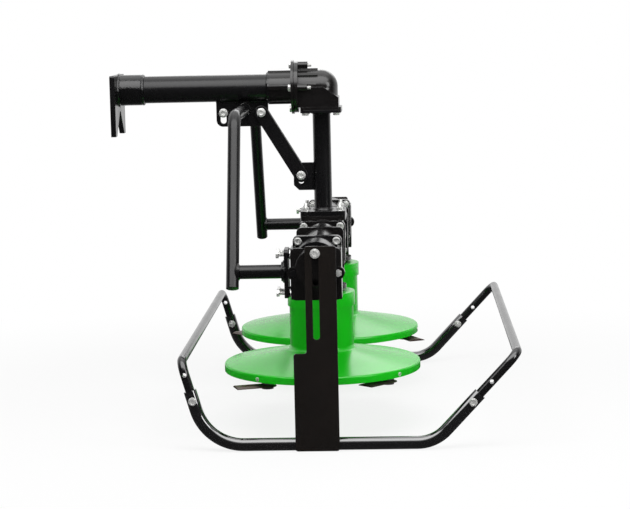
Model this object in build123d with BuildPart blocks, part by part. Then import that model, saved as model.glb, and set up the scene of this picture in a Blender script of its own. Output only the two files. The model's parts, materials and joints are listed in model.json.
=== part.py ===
from build123d import *
import os
from math import atan2, cos, degrees, hypot, radians, sin, sqrt

# Rotary mower for a two-wheel tractor: two cone-and-drum rotors hang under a cross beam,
# and a tubular guard on skids goes round them.
# X runs forward from the tractor, Y to the left across the cut, Z up from the ground.
# All sizes are in millimetres. The right-hand side is at -Y.

# Reach of the machine, measured from the axis of the upright column
REAR_REACH = 441.0  # back to the coupling face
FRONT_REACH = 393.0  # forward to the front of the guard hoop
TRACK_HALF = 480.5  # out to the inner face of a side plate
RIM_GAP = 50.0  # between the rims of the two rotors
SIDE_GAP = 55.5  # rim out to a side plate
COLUMN_X = (REAR_REACH - FRONT_REACH) / 2  # puts the origin at the middle of the length

# Clearances
RUN_CLEAR = 0.05  # radial, shaft in its bore
PIN_CLEAR = 0.1  # radial, knife on its pin
SEAT_CLEAR = 0.2  # radial, welded or slid seats
BOLT_CLEAR = 0.3  # radial, bolt in its hole
CHEEK_CLEAR = 0.5  # outrigger's flat to a cheek

# Rotor dish, pressed from sheet: the pair fills the track
RIM_RADIUS = (TRACK_HALF - SIDE_GAP - RIM_GAP / 2) / 2
ROTOR_Y = RIM_RADIUS + RIM_GAP / 2
RIM_GROUND_GAP = 118.0
RIM_HEIGHT = 15.0
RIM_ROUND = 4.0
CONE_RISE = 27.0
CONE_ROUND = 9.0
DRUM_RADIUS = 65.0
DRUM_HEIGHT = 88.0
COLLAR_RADIUS = 68.5
COLLAR_HEIGHT = 28.0
SHEET = 3.0
DISH_TOP = 4.0

# Knives, their pins and the plate that carries them
KNIVES = 4
KNIFE_INSET = 30.0  # knife's pin inside the rim
KNIFE_REACH = 66.0
KNIFE_WIDTH = 36.0
KNIFE_THICK = 4.0
KNIFE_BEVEL = 7.0
KNIFE_EDGE = 1.2
KNIFE_PLAY = 0.6  # up and down on the pin
PIN_RADIUS = 8.0
PIN_HEAD_RADIUS = 12.0
PIN_HEAD_HEIGHT = 4.0
PIN_SHOULDER = 10.5
PIN_NUT_HEIGHT = 6.0
CARRIER_LIFT = 3.0  # plate above the rim's lower edge
CARRIER_THICK = 5.0
CARRIER_EYE_RADIUS = 48.0
CARRIER_HOLE_RADIUS = 24.0
CARRIER_HOLE_INSET = 82.0  # hole's middle inside the rim

# Rotor shaft and its hub
SHAFT_RADIUS = 17.5
SHAFT_IN_NECK = 26.0
HUB_RADIUS = 40.0
HUB_THICK = 8.0
HUB_NUT_RADIUS = 20.0
HUB_NUT_HEIGHT = 14.0
ROTOR_GAP = 6.0  # dish to the gear case above it

# Cross beam: centre gear case, disc gear cases and outriggers on one axis
NECK_DROP = 75.0  # beam axis down to the foot of a neck
NECK_RADIUS = 40.0
NECK_FLANGE_RADIUS = 52.0
NECK_FLANGE_THICK = 8.0
BEAM_BOLT_SPACING = 76.0
BEAM_BOLT_LAND = 10.0  # bolt's middle in from the flange's edge
BEAM_BOLT_RADIUS = 4.0
BEAM_FLANGE = BEAM_BOLT_SPACING + 2 * BEAM_BOLT_LAND
BEAM_FLANGE_THICK = 10.0
BEAM_FLANGE_ROUND = 10.0
HEAD_ROOM = 8.5  # bolt's middle to a round housing beside its head
HOUSING_RADIUS = BEAM_BOLT_SPACING / sqrt(2) - HEAD_ROOM
CENTRE_HALF = 100.0
CENTRE_TOP_RISE = 53.0
CASE_WEB_INSET = 5.0  # web on the disc gear case, inside the rotor's axis
OUTRIGGER_LENGTH = 80.0
OUTRIGGER_WALL = 8.0

# End bracket on each outrigger
END_PLATE_WIDTH = 98.0
END_PLATE_BELOW = 67.0  # beam axis down to the lower edge
END_PLATE_ABOVE = 34.0
END_PLATE_THICK = 10.0
END_PLATE_ROUND = 10.0
EAR_REACH = 43.0
EAR_DROP = 14.0  # below the beam axis
EAR_RADIUS = 12.5
EAR_RISE = 6.0  # outward of the plate
BOSS_BOLT_RISE = 28.0
BOSS_BOLT_LAND = 10.0  # bolt's middle in from the boss's edge
BOSS_LENGTH = 30.5
BOSS_ROUND = 3.0
CHEEK_HALF = 49.0  # beam axis out to a cheek's outer face
CHEEK_THICK = 8.0
CHEEK_LENGTH = 58.0
CHEEK_ABOVE = 32.0

# Side plate with its height slot
SIDE_PLATE_THICK = 6.0
SIDE_PLATE_FRONT = 40.0
SIDE_PLATE_REAR = 45.0
SIDE_PLATE_NECK_REAR = 20.0
SIDE_PLATE_STEP = 192.0
SIDE_PLATE_TOP_LAND = 14.0  # above the upper slot bolt
SIDE_PLATE_GROUND_GAP = 1.5
SIDE_PLATE_ROUND = 5.0
SLOT_LENGTH = 160.0  # between the centres of the slot's ends
SLOT_BOLT_RADIUS = 6.0

# Skids and guard hoops: the hoops' tubes slide in the ends of the skids
SKID_OD = 25.0
HOOP_OD = 18.0
HOOP_BEND = 27.0
SLEEVE_INSERT = 38.0
SLEEVE_BOLT_DROP = 20.0
SPARE_HOLE_RISE = 33.0
GUARD_BOLT_RADIUS = 4.0
REAR_HOOP_REACH = 264.0
REAR_HOOP_HEIGHT = 176.0
REAR_ARM_ANGLE = 74.0
REAR_SLEEVE_TOP = 120.0
REAR_SKID_BEND = 95.0
FRONT_HOOP_HEIGHT = 185.0
FRONT_ARM_ANGLE = 47.0
FRONT_SLEEVE_TOP = 107.0
FRONT_SKID_BEND = 76.0

# Column and its flanges
COLUMN_OD = 38.0
COLUMN_WALL = 4.0
COLUMN_HEIGHT = 224.0
COLUMN_FOOT_BOLTS = 72.0
COLUMN_FOOT_LAND = 12.0  # bolt's middle in from the flange's edge
COLUMN_FOOT = COLUMN_FOOT_BOLTS + 2 * COLUMN_FOOT_LAND
COLUMN_FOOT_THICK = 10.0
COLUMN_HEAD_BOLTS = 66.0
COLUMN_HEAD_LAND = 10.5
COLUMN_HEAD = COLUMN_HEAD_BOLTS + 2 * COLUMN_HEAD_LAND
COLUMN_HEAD_THICK = 6.0
COLUMN_BOLT_RADIUS = 4.0
COLUMN_WELD = 6.0

# Upper gear case, a cast elbow
ELBOW_RISE = 48.0  # column's head up to the drive axis
ELBOW_DOME_RADIUS = 36.0
ELBOW_BARREL_RADIUS = 34.5
ELBOW_REACH = 56.5  # column axis back to the drive flange
ELBOW_FOOT_THICK = 6.0
ELBOW_BOX_HALF = 39.0
ELBOW_BOX_FRONT = 38.0
ELBOW_BOX_SHOULDER = 6.0
ELBOW_BOX_RISE = 26.0  # height of the box's front edge above the column's head
ELBOW_RIB_THICK = 6.0
ELBOW_RIB_RISE = 4.5
ELBOW_FLANGE_LAND = 8.0  # bolt's middle in from the flange's edge
ELBOW_FLANGE_THICK = 9.0
ELBOW_LUG_RADIUS = 7.5  # round the drive flange's bolts
ELBOW_LUG_LENGTH = 20.0

# Drive tube, its flange and the coupling to the tractor
DRIVE_OD = 57.0
DRIVE_WALL = 4.5
DRIVE_BOLT_CIRCLE = 46.0  # radius of the bolt circle
DRIVE_BOLT_RADIUS = 4.0
DRIVE_FLANGE_LAND = 11.0  # bolt's middle in from the flange's edge
DRIVE_FLANGE_THICK = 5.5
SLEEVE_RADIUS = 32.0
SLEEVE_LENGTH = 50.0
SLEEVE_RIB_RADIUS = 35.5
SLEEVE_RIB_THICK = 8.0
HOOK_THICK = 11.0
HOOK_HALF_WIDTH = 74.0
HOOK_ABOVE = 33.0
HOOK_BELOW = 95.0
HOOK_ROUND = 4.0
NOTCH_HALF_WIDTH = 55.0
NOTCH_HEIGHT = 56.0
NOTCH_ROUND = 12.0
SOCKET_RADIUS = 32.5
SOCKET_LENGTH = 51.0
SOCKET_CHAMFER = 6.0
SOCKET_MOUTH_RADIUS = 26.0
SOCKET_MOUTH_DEPTH = 18.0
SOCKET_STEP = 0.5
BEARING_LENGTH = 13.0

# Input shaft with its dog
INPUT_RADIUS = 14.0
DOG_RADIUS = 20.0
DOG_LENGTH = 16.0
DOG_SLOT = 9.0
DOG_SLOT_DEPTH = 9.0
INPUT_END_GAP = 25.0  # shaft's end to the drive flange

# Brace: a bent tube under the drive tube, feet on the end brackets, and two flat bars
BRACE_OD = 25.0
BRACE_WALL = 3.0
BRACE_BACK = 163.0  # behind the column
BRACE_TOP_HALF = 282.0
BRACE_BEND = 45.0
BRACE_LAND = 4.0  # metal between the tube's hole and the drive tube
BRACE_TAIL = 30.0  # leg below the stub's axis
STUB_OD = 27.0
STUB_WALL = 3.5
STUB_BELOW_BEAM = 14.0
STUB_OFFSET = 10.0  # outward of the foot's middle
STUB_LAP = 6.0  # stub reaches round the leg
STUB_RING_RADIUS = 19.0
STUB_RING_LENGTH = 6.0
FOOT_BOLTS_ACROSS = 34.0
FOOT_BOLTS_UP = 75.0
FOOT_BOLT_LAND_ACROSS = 12.0  # bolt's middle in from the foot's edge
FOOT_BOLT_LAND_UP = 10.0
FOOT_BOLT_RADIUS = 4.0
FOOT_WIDTH = FOOT_BOLTS_ACROSS + 2 * FOOT_BOLT_LAND_ACROSS
FOOT_HEIGHT = FOOT_BOLTS_UP + 2 * FOOT_BOLT_LAND_UP
FOOT_THICK = 8.0
FOOT_ROUND = 8.0
FOOT_SPACER = 5.0
FOOT_SPACER_RADIUS = 8.0
BRACKET_THICK = 8.0
BRACKET_REAR = 224.0
BRACKET_FRONT = 113.0
BRACKET_DEPTH = 53.0
BRACKET_ROUND = 14.0
BRACKET_BOLT_INSET = 15.0
BRACKET_BOLT_DROP = 24.0  # below the drive tube
BRACKET_SLOT = 16.0
BRACE_BOLT_RADIUS = 6.0
BAR_WIDTH = 29.5
BAR_THICK = 6.0
LUG_REACH = 62.0  # column axis back to the lug's edge
LUG_BOLT_REACH = 46.0
LUG_BOLT_RISE = 84.0  # above the column's foot
LUG_ABOVE = 27.0
LUG_BELOW = 32.0
LUG_CUT = 11.0
LUG_SLOT = 12.0

# Heights and places that follow from the sizes above
knife_pivot = RIM_RADIUS - KNIFE_INSET
rim_top = RIM_GROUND_GAP + RIM_HEIGHT
cone_top = rim_top + CONE_RISE
collar_base = cone_top + DRUM_HEIGHT
rotor_top = collar_base + COLLAR_HEIGHT
neck_foot = rotor_top + ROTOR_GAP
beam_z = neck_foot + NECK_DROP
column_foot = beam_z + CENTRE_TOP_RISE
column_head = column_foot + COLUMN_HEIGHT
drive_z = column_head + ELBOW_RISE
tube_under = drive_z - DRIVE_OD / 2
carrier_z = RIM_GROUND_GAP + CARRIER_LIFT
end_plate_y = TRACK_HALF - BOSS_LENGTH
cheek_end_y = end_plate_y - END_PLATE_THICK
case_end = cheek_end_y - OUTRIGGER_LENGTH
skid_y = TRACK_HALF - SKID_OD / 2
skid_z = SKID_OD / 2


def side(y):
    """Upright plane along the machine at y: local x is forward of the column, local y is up."""
    return Plane(origin=(COLUMN_X, y, 0), x_dir=(1, 0, 0), z_dir=(0, -1, 0))


def across(x):
    """Upright plane across the machine, x forward of the column: local x is left, local y is up."""
    return Plane(origin=(COLUMN_X + x, 0, 0), x_dir=(0, 1, 0), z_dir=(1, 0, 0))


def level(z, y=0.0):
    """Level plane at height z, centred on the column's axis or on a rotor's axis at y."""
    return Plane(origin=(COLUMN_X, y, z))


def save(piece, name):
    """Label a finished piece and write it."""
    piece.label = name
    export_step(piece, f"parts/{name}.step")


def save_pair(piece, name):
    """Write a right-hand piece and its mirror image on the left."""
    save(piece, f"{name}_right")
    save(mirror(piece, about=Plane.XZ), f"{name}_left")


os.makedirs("parts", exist_ok=True)

# Coupling: notched hook plate, socket and drive tube
hook_x = -REAR_REACH
socket_x = hook_x + HOOK_THICK
tube_x = socket_x + SOCKET_LENGTH
flange_x = -ELBOW_REACH - DRIVE_FLANGE_THICK
hook_middle = drive_z + (HOOK_ABOVE - HOOK_BELOW) / 2
hook_foot = drive_z - HOOK_BELOW

with BuildPart() as hook_plate:
    with BuildSketch(across(hook_x)) as hook_outline:
        with Locations((0, hook_middle)):
            Rectangle(2 * HOOK_HALF_WIDTH, HOOK_ABOVE + HOOK_BELOW)
        fillet(hook_outline.vertices().group_by(Axis.Y)[-1], HOOK_ROUND)
        with BuildLine():
            Polyline(
                (-NOTCH_HALF_WIDTH, hook_foot),
                (0, hook_foot + NOTCH_HEIGHT),
                (NOTCH_HALF_WIDTH, hook_foot),
                close=True,
            )
        make_face(mode=Mode.SUBTRACT)
        fillet(hook_outline.vertices().sort_by_distance((0, hook_foot + NOTCH_HEIGHT))[0], NOTCH_ROUND)
        with Locations((0, drive_z)):
            Circle(SOCKET_MOUTH_RADIUS, mode=Mode.SUBTRACT)
    extrude(amount=HOOK_THICK)
save(hook_plate.part, "coupling_hook_plate")

with BuildPart() as socket:
    with BuildSketch(across(socket_x)):
        with Locations((0, drive_z)):
            Circle(SOCKET_RADIUS)
    extrude(amount=SOCKET_LENGTH)
    chamfer(socket.faces().sort_by(Axis.X)[-1].edges(), SOCKET_CHAMFER / 2, SOCKET_CHAMFER / 2)
    bores = [
        # radius, depth from the hook plate
        (SOCKET_MOUTH_RADIUS, SOCKET_MOUTH_DEPTH),
        (SOCKET_MOUTH_RADIUS - SOCKET_STEP, SOCKET_LENGTH - BEARING_LENGTH),
        (INPUT_RADIUS + RUN_CLEAR, SOCKET_LENGTH),
    ]
    for bore_radius, depth in bores:
        with BuildSketch(across(socket_x)):
            with Locations((0, drive_z)):
                Circle(bore_radius)
        extrude(amount=depth, mode=Mode.SUBTRACT)
save(socket.part, "coupling_socket")

with BuildPart() as drive_tube:
    with BuildSketch(across(tube_x)):
        with Locations((0, drive_z)):
            Circle(DRIVE_OD / 2)
            Circle(DRIVE_OD / 2 - DRIVE_WALL, mode=Mode.SUBTRACT)
    extrude(amount=-ELBOW_REACH - tube_x)
save(drive_tube.part, "drive_tube")

with BuildPart() as drive_flange:
    with BuildSketch(across(flange_x - SLEEVE_LENGTH)):
        with Locations((0, drive_z)):
            Circle(SLEEVE_RADIUS)
            Rectangle(SLEEVE_RIB_THICK, 2 * SLEEVE_RIB_RADIUS)
            Rectangle(2 * SLEEVE_RIB_RADIUS, SLEEVE_RIB_THICK)
            Circle(DRIVE_OD / 2 + SEAT_CLEAR, mode=Mode.SUBTRACT)
    extrude(amount=SLEEVE_LENGTH)
    with BuildSketch(across(flange_x)):
        with Locations((0, drive_z)):
            Circle(DRIVE_BOLT_CIRCLE + DRIVE_FLANGE_LAND)
            Circle(DRIVE_OD / 2 + SEAT_CLEAR, mode=Mode.SUBTRACT)
            with PolarLocations(DRIVE_BOLT_CIRCLE, 4):
                Circle(DRIVE_BOLT_RADIUS + BOLT_CLEAR, mode=Mode.SUBTRACT)
    extrude(amount=DRIVE_FLANGE_THICK)
save(drive_flange.part, "drive_flange")

# Input shaft: a slotted dog in the socket's mouth, running in the socket's bearing
dog_x = socket_x + SOCKET_MOUTH_DEPTH

with BuildPart() as input_shaft:
    with BuildSketch(across(dog_x)):
        with Locations((0, drive_z)):
            Circle(DOG_RADIUS)
    extrude(amount=DOG_LENGTH)
    with BuildSketch(across(dog_x)):
        with Locations((0, drive_z)):
            Circle(INPUT_RADIUS)
    extrude(amount=flange_x - INPUT_END_GAP - dog_x)
    with BuildSketch(across(dog_x)):
        with Locations((0, drive_z)):
            Rectangle(DOG_SLOT, 2 * DOG_RADIUS)
            Rectangle(2 * DOG_RADIUS, DOG_SLOT)
    extrude(amount=DOG_SLOT_DEPTH, mode=Mode.SUBTRACT)
save(input_shaft.part, "input_shaft")

# Upper gear case: a ribbed barrel runs into a domed post over a square foot
barrel_x = -ELBOW_REACH + ELBOW_FLANGE_THICK

with BuildPart() as upper_case:
    with BuildSketch(across(-ELBOW_REACH)):
        with Locations((0, drive_z)):
            Circle(DRIVE_BOLT_CIRCLE + ELBOW_FLANGE_LAND)
            with PolarLocations(DRIVE_BOLT_CIRCLE, 4):
                Circle(DRIVE_BOLT_RADIUS + BOLT_CLEAR, mode=Mode.SUBTRACT)
    extrude(amount=ELBOW_FLANGE_THICK)
    with BuildSketch(across(barrel_x)):
        with Locations((0, drive_z)):
            with PolarLocations(DRIVE_BOLT_CIRCLE, 3, angular_range=270):
                Circle(ELBOW_LUG_RADIUS)
                Circle(DRIVE_BOLT_RADIUS + BOLT_CLEAR, mode=Mode.SUBTRACT)
    extrude(amount=ELBOW_LUG_LENGTH)
    with BuildSketch(across(barrel_x)):
        with Locations((0, drive_z)):
            Circle(ELBOW_BARREL_RADIUS)
            for rib_angle in (45, 90, 135):
                with Locations(Rotation(0, 0, rib_angle)):
                    with Locations((ELBOW_BARREL_RADIUS / 2, 0)):
                        Rectangle(ELBOW_BARREL_RADIUS + 2 * ELBOW_RIB_RISE, ELBOW_RIB_THICK)
    extrude(amount=-ELBOW_BOX_SHOULDER - barrel_x)
    with BuildSketch(side(0)) as dome:
        with BuildLine():
            Line((0, column_head), (ELBOW_DOME_RADIUS, column_head))
            Line((ELBOW_DOME_RADIUS, column_head), (ELBOW_DOME_RADIUS, drive_z))
            CenterArc((0, drive_z), ELBOW_DOME_RADIUS, 0, 90)
            Line((0, drive_z + ELBOW_DOME_RADIUS), (0, column_head))
        make_face()
    revolve(axis=Axis((COLUMN_X, 0, 0), (0, 0, 1)))
    with BuildSketch(side(ELBOW_BOX_HALF)):
        with BuildLine():
            Polyline(
                (barrel_x, column_head + ELBOW_FOOT_THICK),
                (ELBOW_BOX_FRONT, column_head + ELBOW_FOOT_THICK),
                (ELBOW_BOX_FRONT, column_head + ELBOW_BOX_RISE),
                (ELBOW_BOX_SHOULDER, drive_z),
                (barrel_x, drive_z),
                close=True,
            )
        make_face()
    extrude(amount=2 * ELBOW_BOX_HALF)
    with BuildSketch(level(column_head)):
        RectangleRounded(COLUMN_HEAD, COLUMN_HEAD, BEAM_FLANGE_ROUND)
        with GridLocations(COLUMN_HEAD_BOLTS, COLUMN_HEAD_BOLTS, 2, 2):
            Circle(COLUMN_BOLT_RADIUS + BOLT_CLEAR, mode=Mode.SUBTRACT)
    extrude(amount=ELBOW_FOOT_THICK)
save(upper_case.part, "upper_gear_case")

# Column: a tube between two square flanges, with a weld round its foot
with BuildPart() as column:
    with BuildSketch(level(column_foot)):
        RectangleRounded(COLUMN_FOOT, COLUMN_FOOT, BEAM_FLANGE_ROUND)
        with GridLocations(COLUMN_FOOT_BOLTS, COLUMN_FOOT_BOLTS, 2, 2):
            Circle(COLUMN_BOLT_RADIUS + BOLT_CLEAR, mode=Mode.SUBTRACT)
    extrude(amount=COLUMN_FOOT_THICK)
    with BuildSketch(level(column_head)):
        RectangleRounded(COLUMN_HEAD, COLUMN_HEAD, BEAM_FLANGE_ROUND)
        with GridLocations(COLUMN_HEAD_BOLTS, COLUMN_HEAD_BOLTS, 2, 2):
            Circle(COLUMN_BOLT_RADIUS + BOLT_CLEAR, mode=Mode.SUBTRACT)
    extrude(amount=-COLUMN_HEAD_THICK)
    with BuildSketch(level(column_foot)):
        Circle(COLUMN_OD / 2)
    extrude(amount=COLUMN_HEIGHT)
    foot_joint = level(column_foot + COLUMN_FOOT_THICK).origin + Vector(0, COLUMN_OD / 2, 0)
    fillet(column.edges().filter_by(GeomType.CIRCLE).sort_by_distance(foot_joint)[0], COLUMN_WELD)
    with BuildSketch(level(column_foot)):
        Circle(COLUMN_OD / 2 - COLUMN_WALL)
    extrude(amount=COLUMN_HEIGHT, mode=Mode.SUBTRACT)
save(column.part, "column")

# Flat bracing in the middle plane: bracket under the drive tube, lug on the column, a bar each side
lug_bolt = (-LUG_BOLT_REACH, column_foot + LUG_BOLT_RISE)
bracket_bolts = [
    (-BRACKET_REAR + BRACKET_BOLT_INSET, tube_under - BRACKET_BOLT_DROP),
    (-BRACKET_FRONT - BRACKET_BOLT_INSET, tube_under - BRACKET_BOLT_DROP),
]
brace_top = tube_under - BRACE_LAND - BRACE_OD / 2
brace_hole = BRACE_BOLT_RADIUS + BOLT_CLEAR

with BuildPart() as bracket:
    with BuildSketch(side(BRACKET_THICK / 2)) as bracket_outline:
        with Locations((-(BRACKET_REAR + BRACKET_FRONT) / 2, tube_under - BRACKET_DEPTH / 2)):
            Rectangle(BRACKET_REAR - BRACKET_FRONT, BRACKET_DEPTH)
        fillet(bracket_outline.vertices().group_by(Axis.Y)[0], BRACKET_ROUND)
        with Locations(bracket_bolts[1]):
            Circle(brace_hole, mode=Mode.SUBTRACT)
        with Locations((bracket_bolts[0][0], bracket_bolts[0][1] - BRACKET_SLOT / 2)):
            SlotCenterToCenter(BRACKET_SLOT, 2 * brace_hole, rotation=90, mode=Mode.SUBTRACT)
        with Locations((-BRACE_BACK, brace_top)):
            Circle(BRACE_OD / 2 + SEAT_CLEAR, mode=Mode.SUBTRACT)
    extrude(amount=BRACKET_THICK)
save(bracket.part, "brace_bracket")

with BuildPart() as lug:
    with BuildSketch(side(BRACKET_THICK / 2)) as lug_outline:
        with BuildLine():
            Polyline(
                (0, lug_bolt[1] + LUG_ABOVE),
                (-LUG_REACH, lug_bolt[1] + LUG_ABOVE),
                (-LUG_REACH, lug_bolt[1] - LUG_BELOW + LUG_CUT),
                (-LUG_REACH + LUG_CUT, lug_bolt[1] - LUG_BELOW),
                (0, lug_bolt[1] - LUG_BELOW),
                close=True,
            )
        make_face()
        with Locations((lug_bolt[0], lug_bolt[1] - LUG_SLOT / 2)):
            SlotCenterToCenter(LUG_SLOT, 2 * brace_hole, rotation=90, mode=Mode.SUBTRACT)
    extrude(amount=BRACKET_THICK)
    with BuildSketch(level(column_foot)):
        Circle(COLUMN_OD / 2)
    extrude(amount=COLUMN_HEIGHT, mode=Mode.SUBTRACT)
save(lug.part, "column_lug")

bar_run = (lug_bolt[0] - bracket_bolts[1][0], lug_bolt[1] - bracket_bolts[1][1])
bar_middle = (lug_bolt[0] - bar_run[0] / 2, lug_bolt[1] - bar_run[1] / 2)

with BuildPart() as bar:
    with BuildSketch(side(-BRACKET_THICK / 2)):
        with Locations(bar_middle):
            SlotCenterToCenter(hypot(*bar_run), BAR_WIDTH, rotation=degrees(atan2(bar_run[1], bar_run[0])))
        with Locations(lug_bolt, bracket_bolts[1]):
            Circle(brace_hole, mode=Mode.SUBTRACT)
    extrude(amount=BAR_THICK)
save_pair(bar.part, "brace_bar")

# Centre gear case under the column
with BuildPart() as centre_case:
    with BuildSketch(side(CENTRE_HALF)):
        with Locations((0, beam_z)):
            Circle(HOUSING_RADIUS)
    extrude(amount=2 * CENTRE_HALF)
    with BuildSketch(level(beam_z)):
        Circle(COLUMN_FOOT_BOLTS / sqrt(2) - HEAD_ROOM)
    extrude(amount=CENTRE_TOP_RISE)
    for flange_y in (CENTRE_HALF, -CENTRE_HALF + BEAM_FLANGE_THICK):
        with BuildSketch(side(flange_y)):
            with Locations((0, beam_z)):
                RectangleRounded(BEAM_FLANGE, BEAM_FLANGE, BEAM_FLANGE_ROUND)
        extrude(amount=BEAM_FLANGE_THICK)
    with BuildSketch(level(column_foot)):
        RectangleRounded(COLUMN_FOOT, COLUMN_FOOT, BEAM_FLANGE_ROUND)
        with GridLocations(COLUMN_FOOT_BOLTS, COLUMN_FOOT_BOLTS, 2, 2):
            Circle(COLUMN_BOLT_RADIUS + BOLT_CLEAR, mode=Mode.SUBTRACT)
    extrude(amount=-COLUMN_FOOT_THICK)
    for flange_y in (CENTRE_HALF, -CENTRE_HALF + BEAM_FLANGE_THICK):
        with BuildSketch(side(flange_y)):
            with Locations((0, beam_z)):
                with GridLocations(BEAM_BOLT_SPACING, BEAM_BOLT_SPACING, 2, 2):
                    Circle(BEAM_BOLT_RADIUS + BOLT_CLEAR)
        extrude(amount=BEAM_FLANGE_THICK, mode=Mode.SUBTRACT)
save(centre_case.part, "centre_gear_case")

# Disc gear case: housing with a square web between square flanges, and a neck down to the rotor
with BuildPart() as disc_case:
    for flange_y in (CENTRE_HALF, case_end - BEAM_FLANGE_THICK):
        with BuildSketch(side(-flange_y)):
            with Locations((0, beam_z)):
                RectangleRounded(BEAM_FLANGE, BEAM_FLANGE, BEAM_FLANGE_ROUND)
                with GridLocations(BEAM_BOLT_SPACING, BEAM_BOLT_SPACING, 2, 2):
                    Circle(BEAM_BOLT_RADIUS + BOLT_CLEAR, mode=Mode.SUBTRACT)
        extrude(amount=BEAM_FLANGE_THICK)
    with BuildSketch(side(-CENTRE_HALF - BEAM_FLANGE_THICK)):
        with Locations((0, beam_z)):
            Circle(HOUSING_RADIUS)
    extrude(amount=case_end - CENTRE_HALF - 2 * BEAM_FLANGE_THICK)
    with BuildSketch(side(CASE_WEB_INSET - ROTOR_Y)):
        with Locations((0, beam_z)):
            RectangleRounded(BEAM_FLANGE, BEAM_FLANGE, BEAM_FLANGE_ROUND)
    extrude(amount=-BEAM_FLANGE_THICK)
    with BuildSketch(level(neck_foot, -ROTOR_Y)):
        Circle(NECK_RADIUS)
    extrude(amount=NECK_DROP)
    with BuildSketch(level(neck_foot, -ROTOR_Y)):
        Circle(NECK_FLANGE_RADIUS)
    extrude(amount=NECK_FLANGE_THICK)
    with BuildSketch(level(neck_foot, -ROTOR_Y)):
        Circle(SHAFT_RADIUS + RUN_CLEAR)
    extrude(amount=SHAFT_IN_NECK + ROTOR_GAP, mode=Mode.SUBTRACT)
save_pair(disc_case.part, "disc_gear_case")

# Outrigger: flanged tube from the disc gear case to the end bracket, with flats beside the cheeks
with BuildPart() as outrigger:
    with BuildSketch(side(-case_end)):
        with Locations((0, beam_z)):
            RectangleRounded(BEAM_FLANGE, BEAM_FLANGE, BEAM_FLANGE_ROUND)
            with GridLocations(BEAM_BOLT_SPACING, BEAM_BOLT_SPACING, 2, 2):
                Circle(BEAM_BOLT_RADIUS + BOLT_CLEAR, mode=Mode.SUBTRACT)
    extrude(amount=BEAM_FLANGE_THICK)
    with BuildSketch(side(-case_end)):
        with Locations((0, beam_z)):
            Circle(HOUSING_RADIUS)
            Rectangle(
                2 * (CHEEK_HALF - CHEEK_THICK - CHEEK_CLEAR), 2 * HOUSING_RADIUS, mode=Mode.INTERSECT
            )
    extrude(amount=OUTRIGGER_LENGTH)
    with BuildSketch(side(-case_end)):
        with Locations((0, beam_z)):
            Circle(HOUSING_RADIUS - OUTRIGGER_WALL)
    extrude(amount=OUTRIGGER_LENGTH, mode=Mode.SUBTRACT)
save_pair(outrigger.part, "outrigger")

# End bracket: plate with a bolted boss and two ears outside, and two cheeks inside
end_plate_middle = beam_z + (END_PLATE_ABOVE - END_PLATE_BELOW) / 2
cheek_foot = beam_z - END_PLATE_BELOW
foot_y = cheek_end_y - CHEEK_LENGTH / 2
foot_z = cheek_foot + (END_PLATE_BELOW + CHEEK_ABOVE) / 2

with BuildPart() as end_bracket:
    with BuildSketch(side(-cheek_end_y)):
        with Locations((0, end_plate_middle)):
            RectangleRounded(END_PLATE_WIDTH, END_PLATE_ABOVE + END_PLATE_BELOW, END_PLATE_ROUND)
    extrude(amount=END_PLATE_THICK)
    with BuildSketch(side(-cheek_end_y)):
        with Locations((EAR_REACH, beam_z - EAR_DROP), (-EAR_REACH, beam_z - EAR_DROP)):
            Circle(EAR_RADIUS)
    extrude(amount=END_PLATE_THICK + EAR_RISE)
    with BuildSketch(side(-end_plate_y)):
        with Locations((0, beam_z)):
            Circle(BOSS_BOLT_RISE + BOSS_BOLT_LAND)
    extrude(amount=BOSS_LENGTH)
    fillet(end_bracket.faces().sort_by(Axis.Y)[0].edges(), BOSS_ROUND)
    with BuildSketch(side(-TRACK_HALF)):
        with Locations((0, beam_z + BOSS_BOLT_RISE), (0, beam_z - BOSS_BOLT_RISE)):
            Circle(SLOT_BOLT_RADIUS)
    extrude(amount=-BOSS_LENGTH, mode=Mode.SUBTRACT)
    with BuildSketch(side(-cheek_end_y)):
        with Locations((EAR_REACH, beam_z - EAR_DROP), (-EAR_REACH, beam_z - EAR_DROP)):
            Circle(BEAM_BOLT_RADIUS + BOLT_CLEAR)
    extrude(amount=END_PLATE_THICK + EAR_RISE, mode=Mode.SUBTRACT)
    with BuildSketch(side(-cheek_end_y + CHEEK_LENGTH)):
        for cheek_x in (CHEEK_THICK / 2 - CHEEK_HALF, CHEEK_HALF - CHEEK_THICK / 2):
            with Locations((cheek_x, foot_z)):
                Rectangle(CHEEK_THICK, END_PLATE_BELOW + CHEEK_ABOVE)
    extrude(amount=CHEEK_LENGTH)
    with BuildSketch(across(-CHEEK_HALF)):
        with Locations((-foot_y, foot_z)):
            with GridLocations(FOOT_BOLTS_ACROSS, FOOT_BOLTS_UP, 2, 2):
                Circle(FOOT_BOLT_RADIUS + BOLT_CLEAR)
    extrude(amount=CHEEK_THICK, mode=Mode.SUBTRACT)
save_pair(end_bracket.part, "end_bracket")

# Brace feet, stubs and the bent brace tube
foot_x = -CHEEK_HALF - FOOT_SPACER - FOOT_THICK
stub_y = foot_y + STUB_OFFSET
stub_z = beam_z - STUB_BELOW_BEAM
leg_slope = (stub_y - BRACE_TOP_HALF) / (brace_top - stub_z)
leg_foot = (stub_y + BRACE_TAIL * leg_slope, stub_z - BRACE_TAIL)
brace_route = [
    (-leg_foot[0], leg_foot[1]),
    (-BRACE_TOP_HALF, brace_top),
    (BRACE_TOP_HALF, brace_top),
    (leg_foot[0], leg_foot[1]),
]

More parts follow.
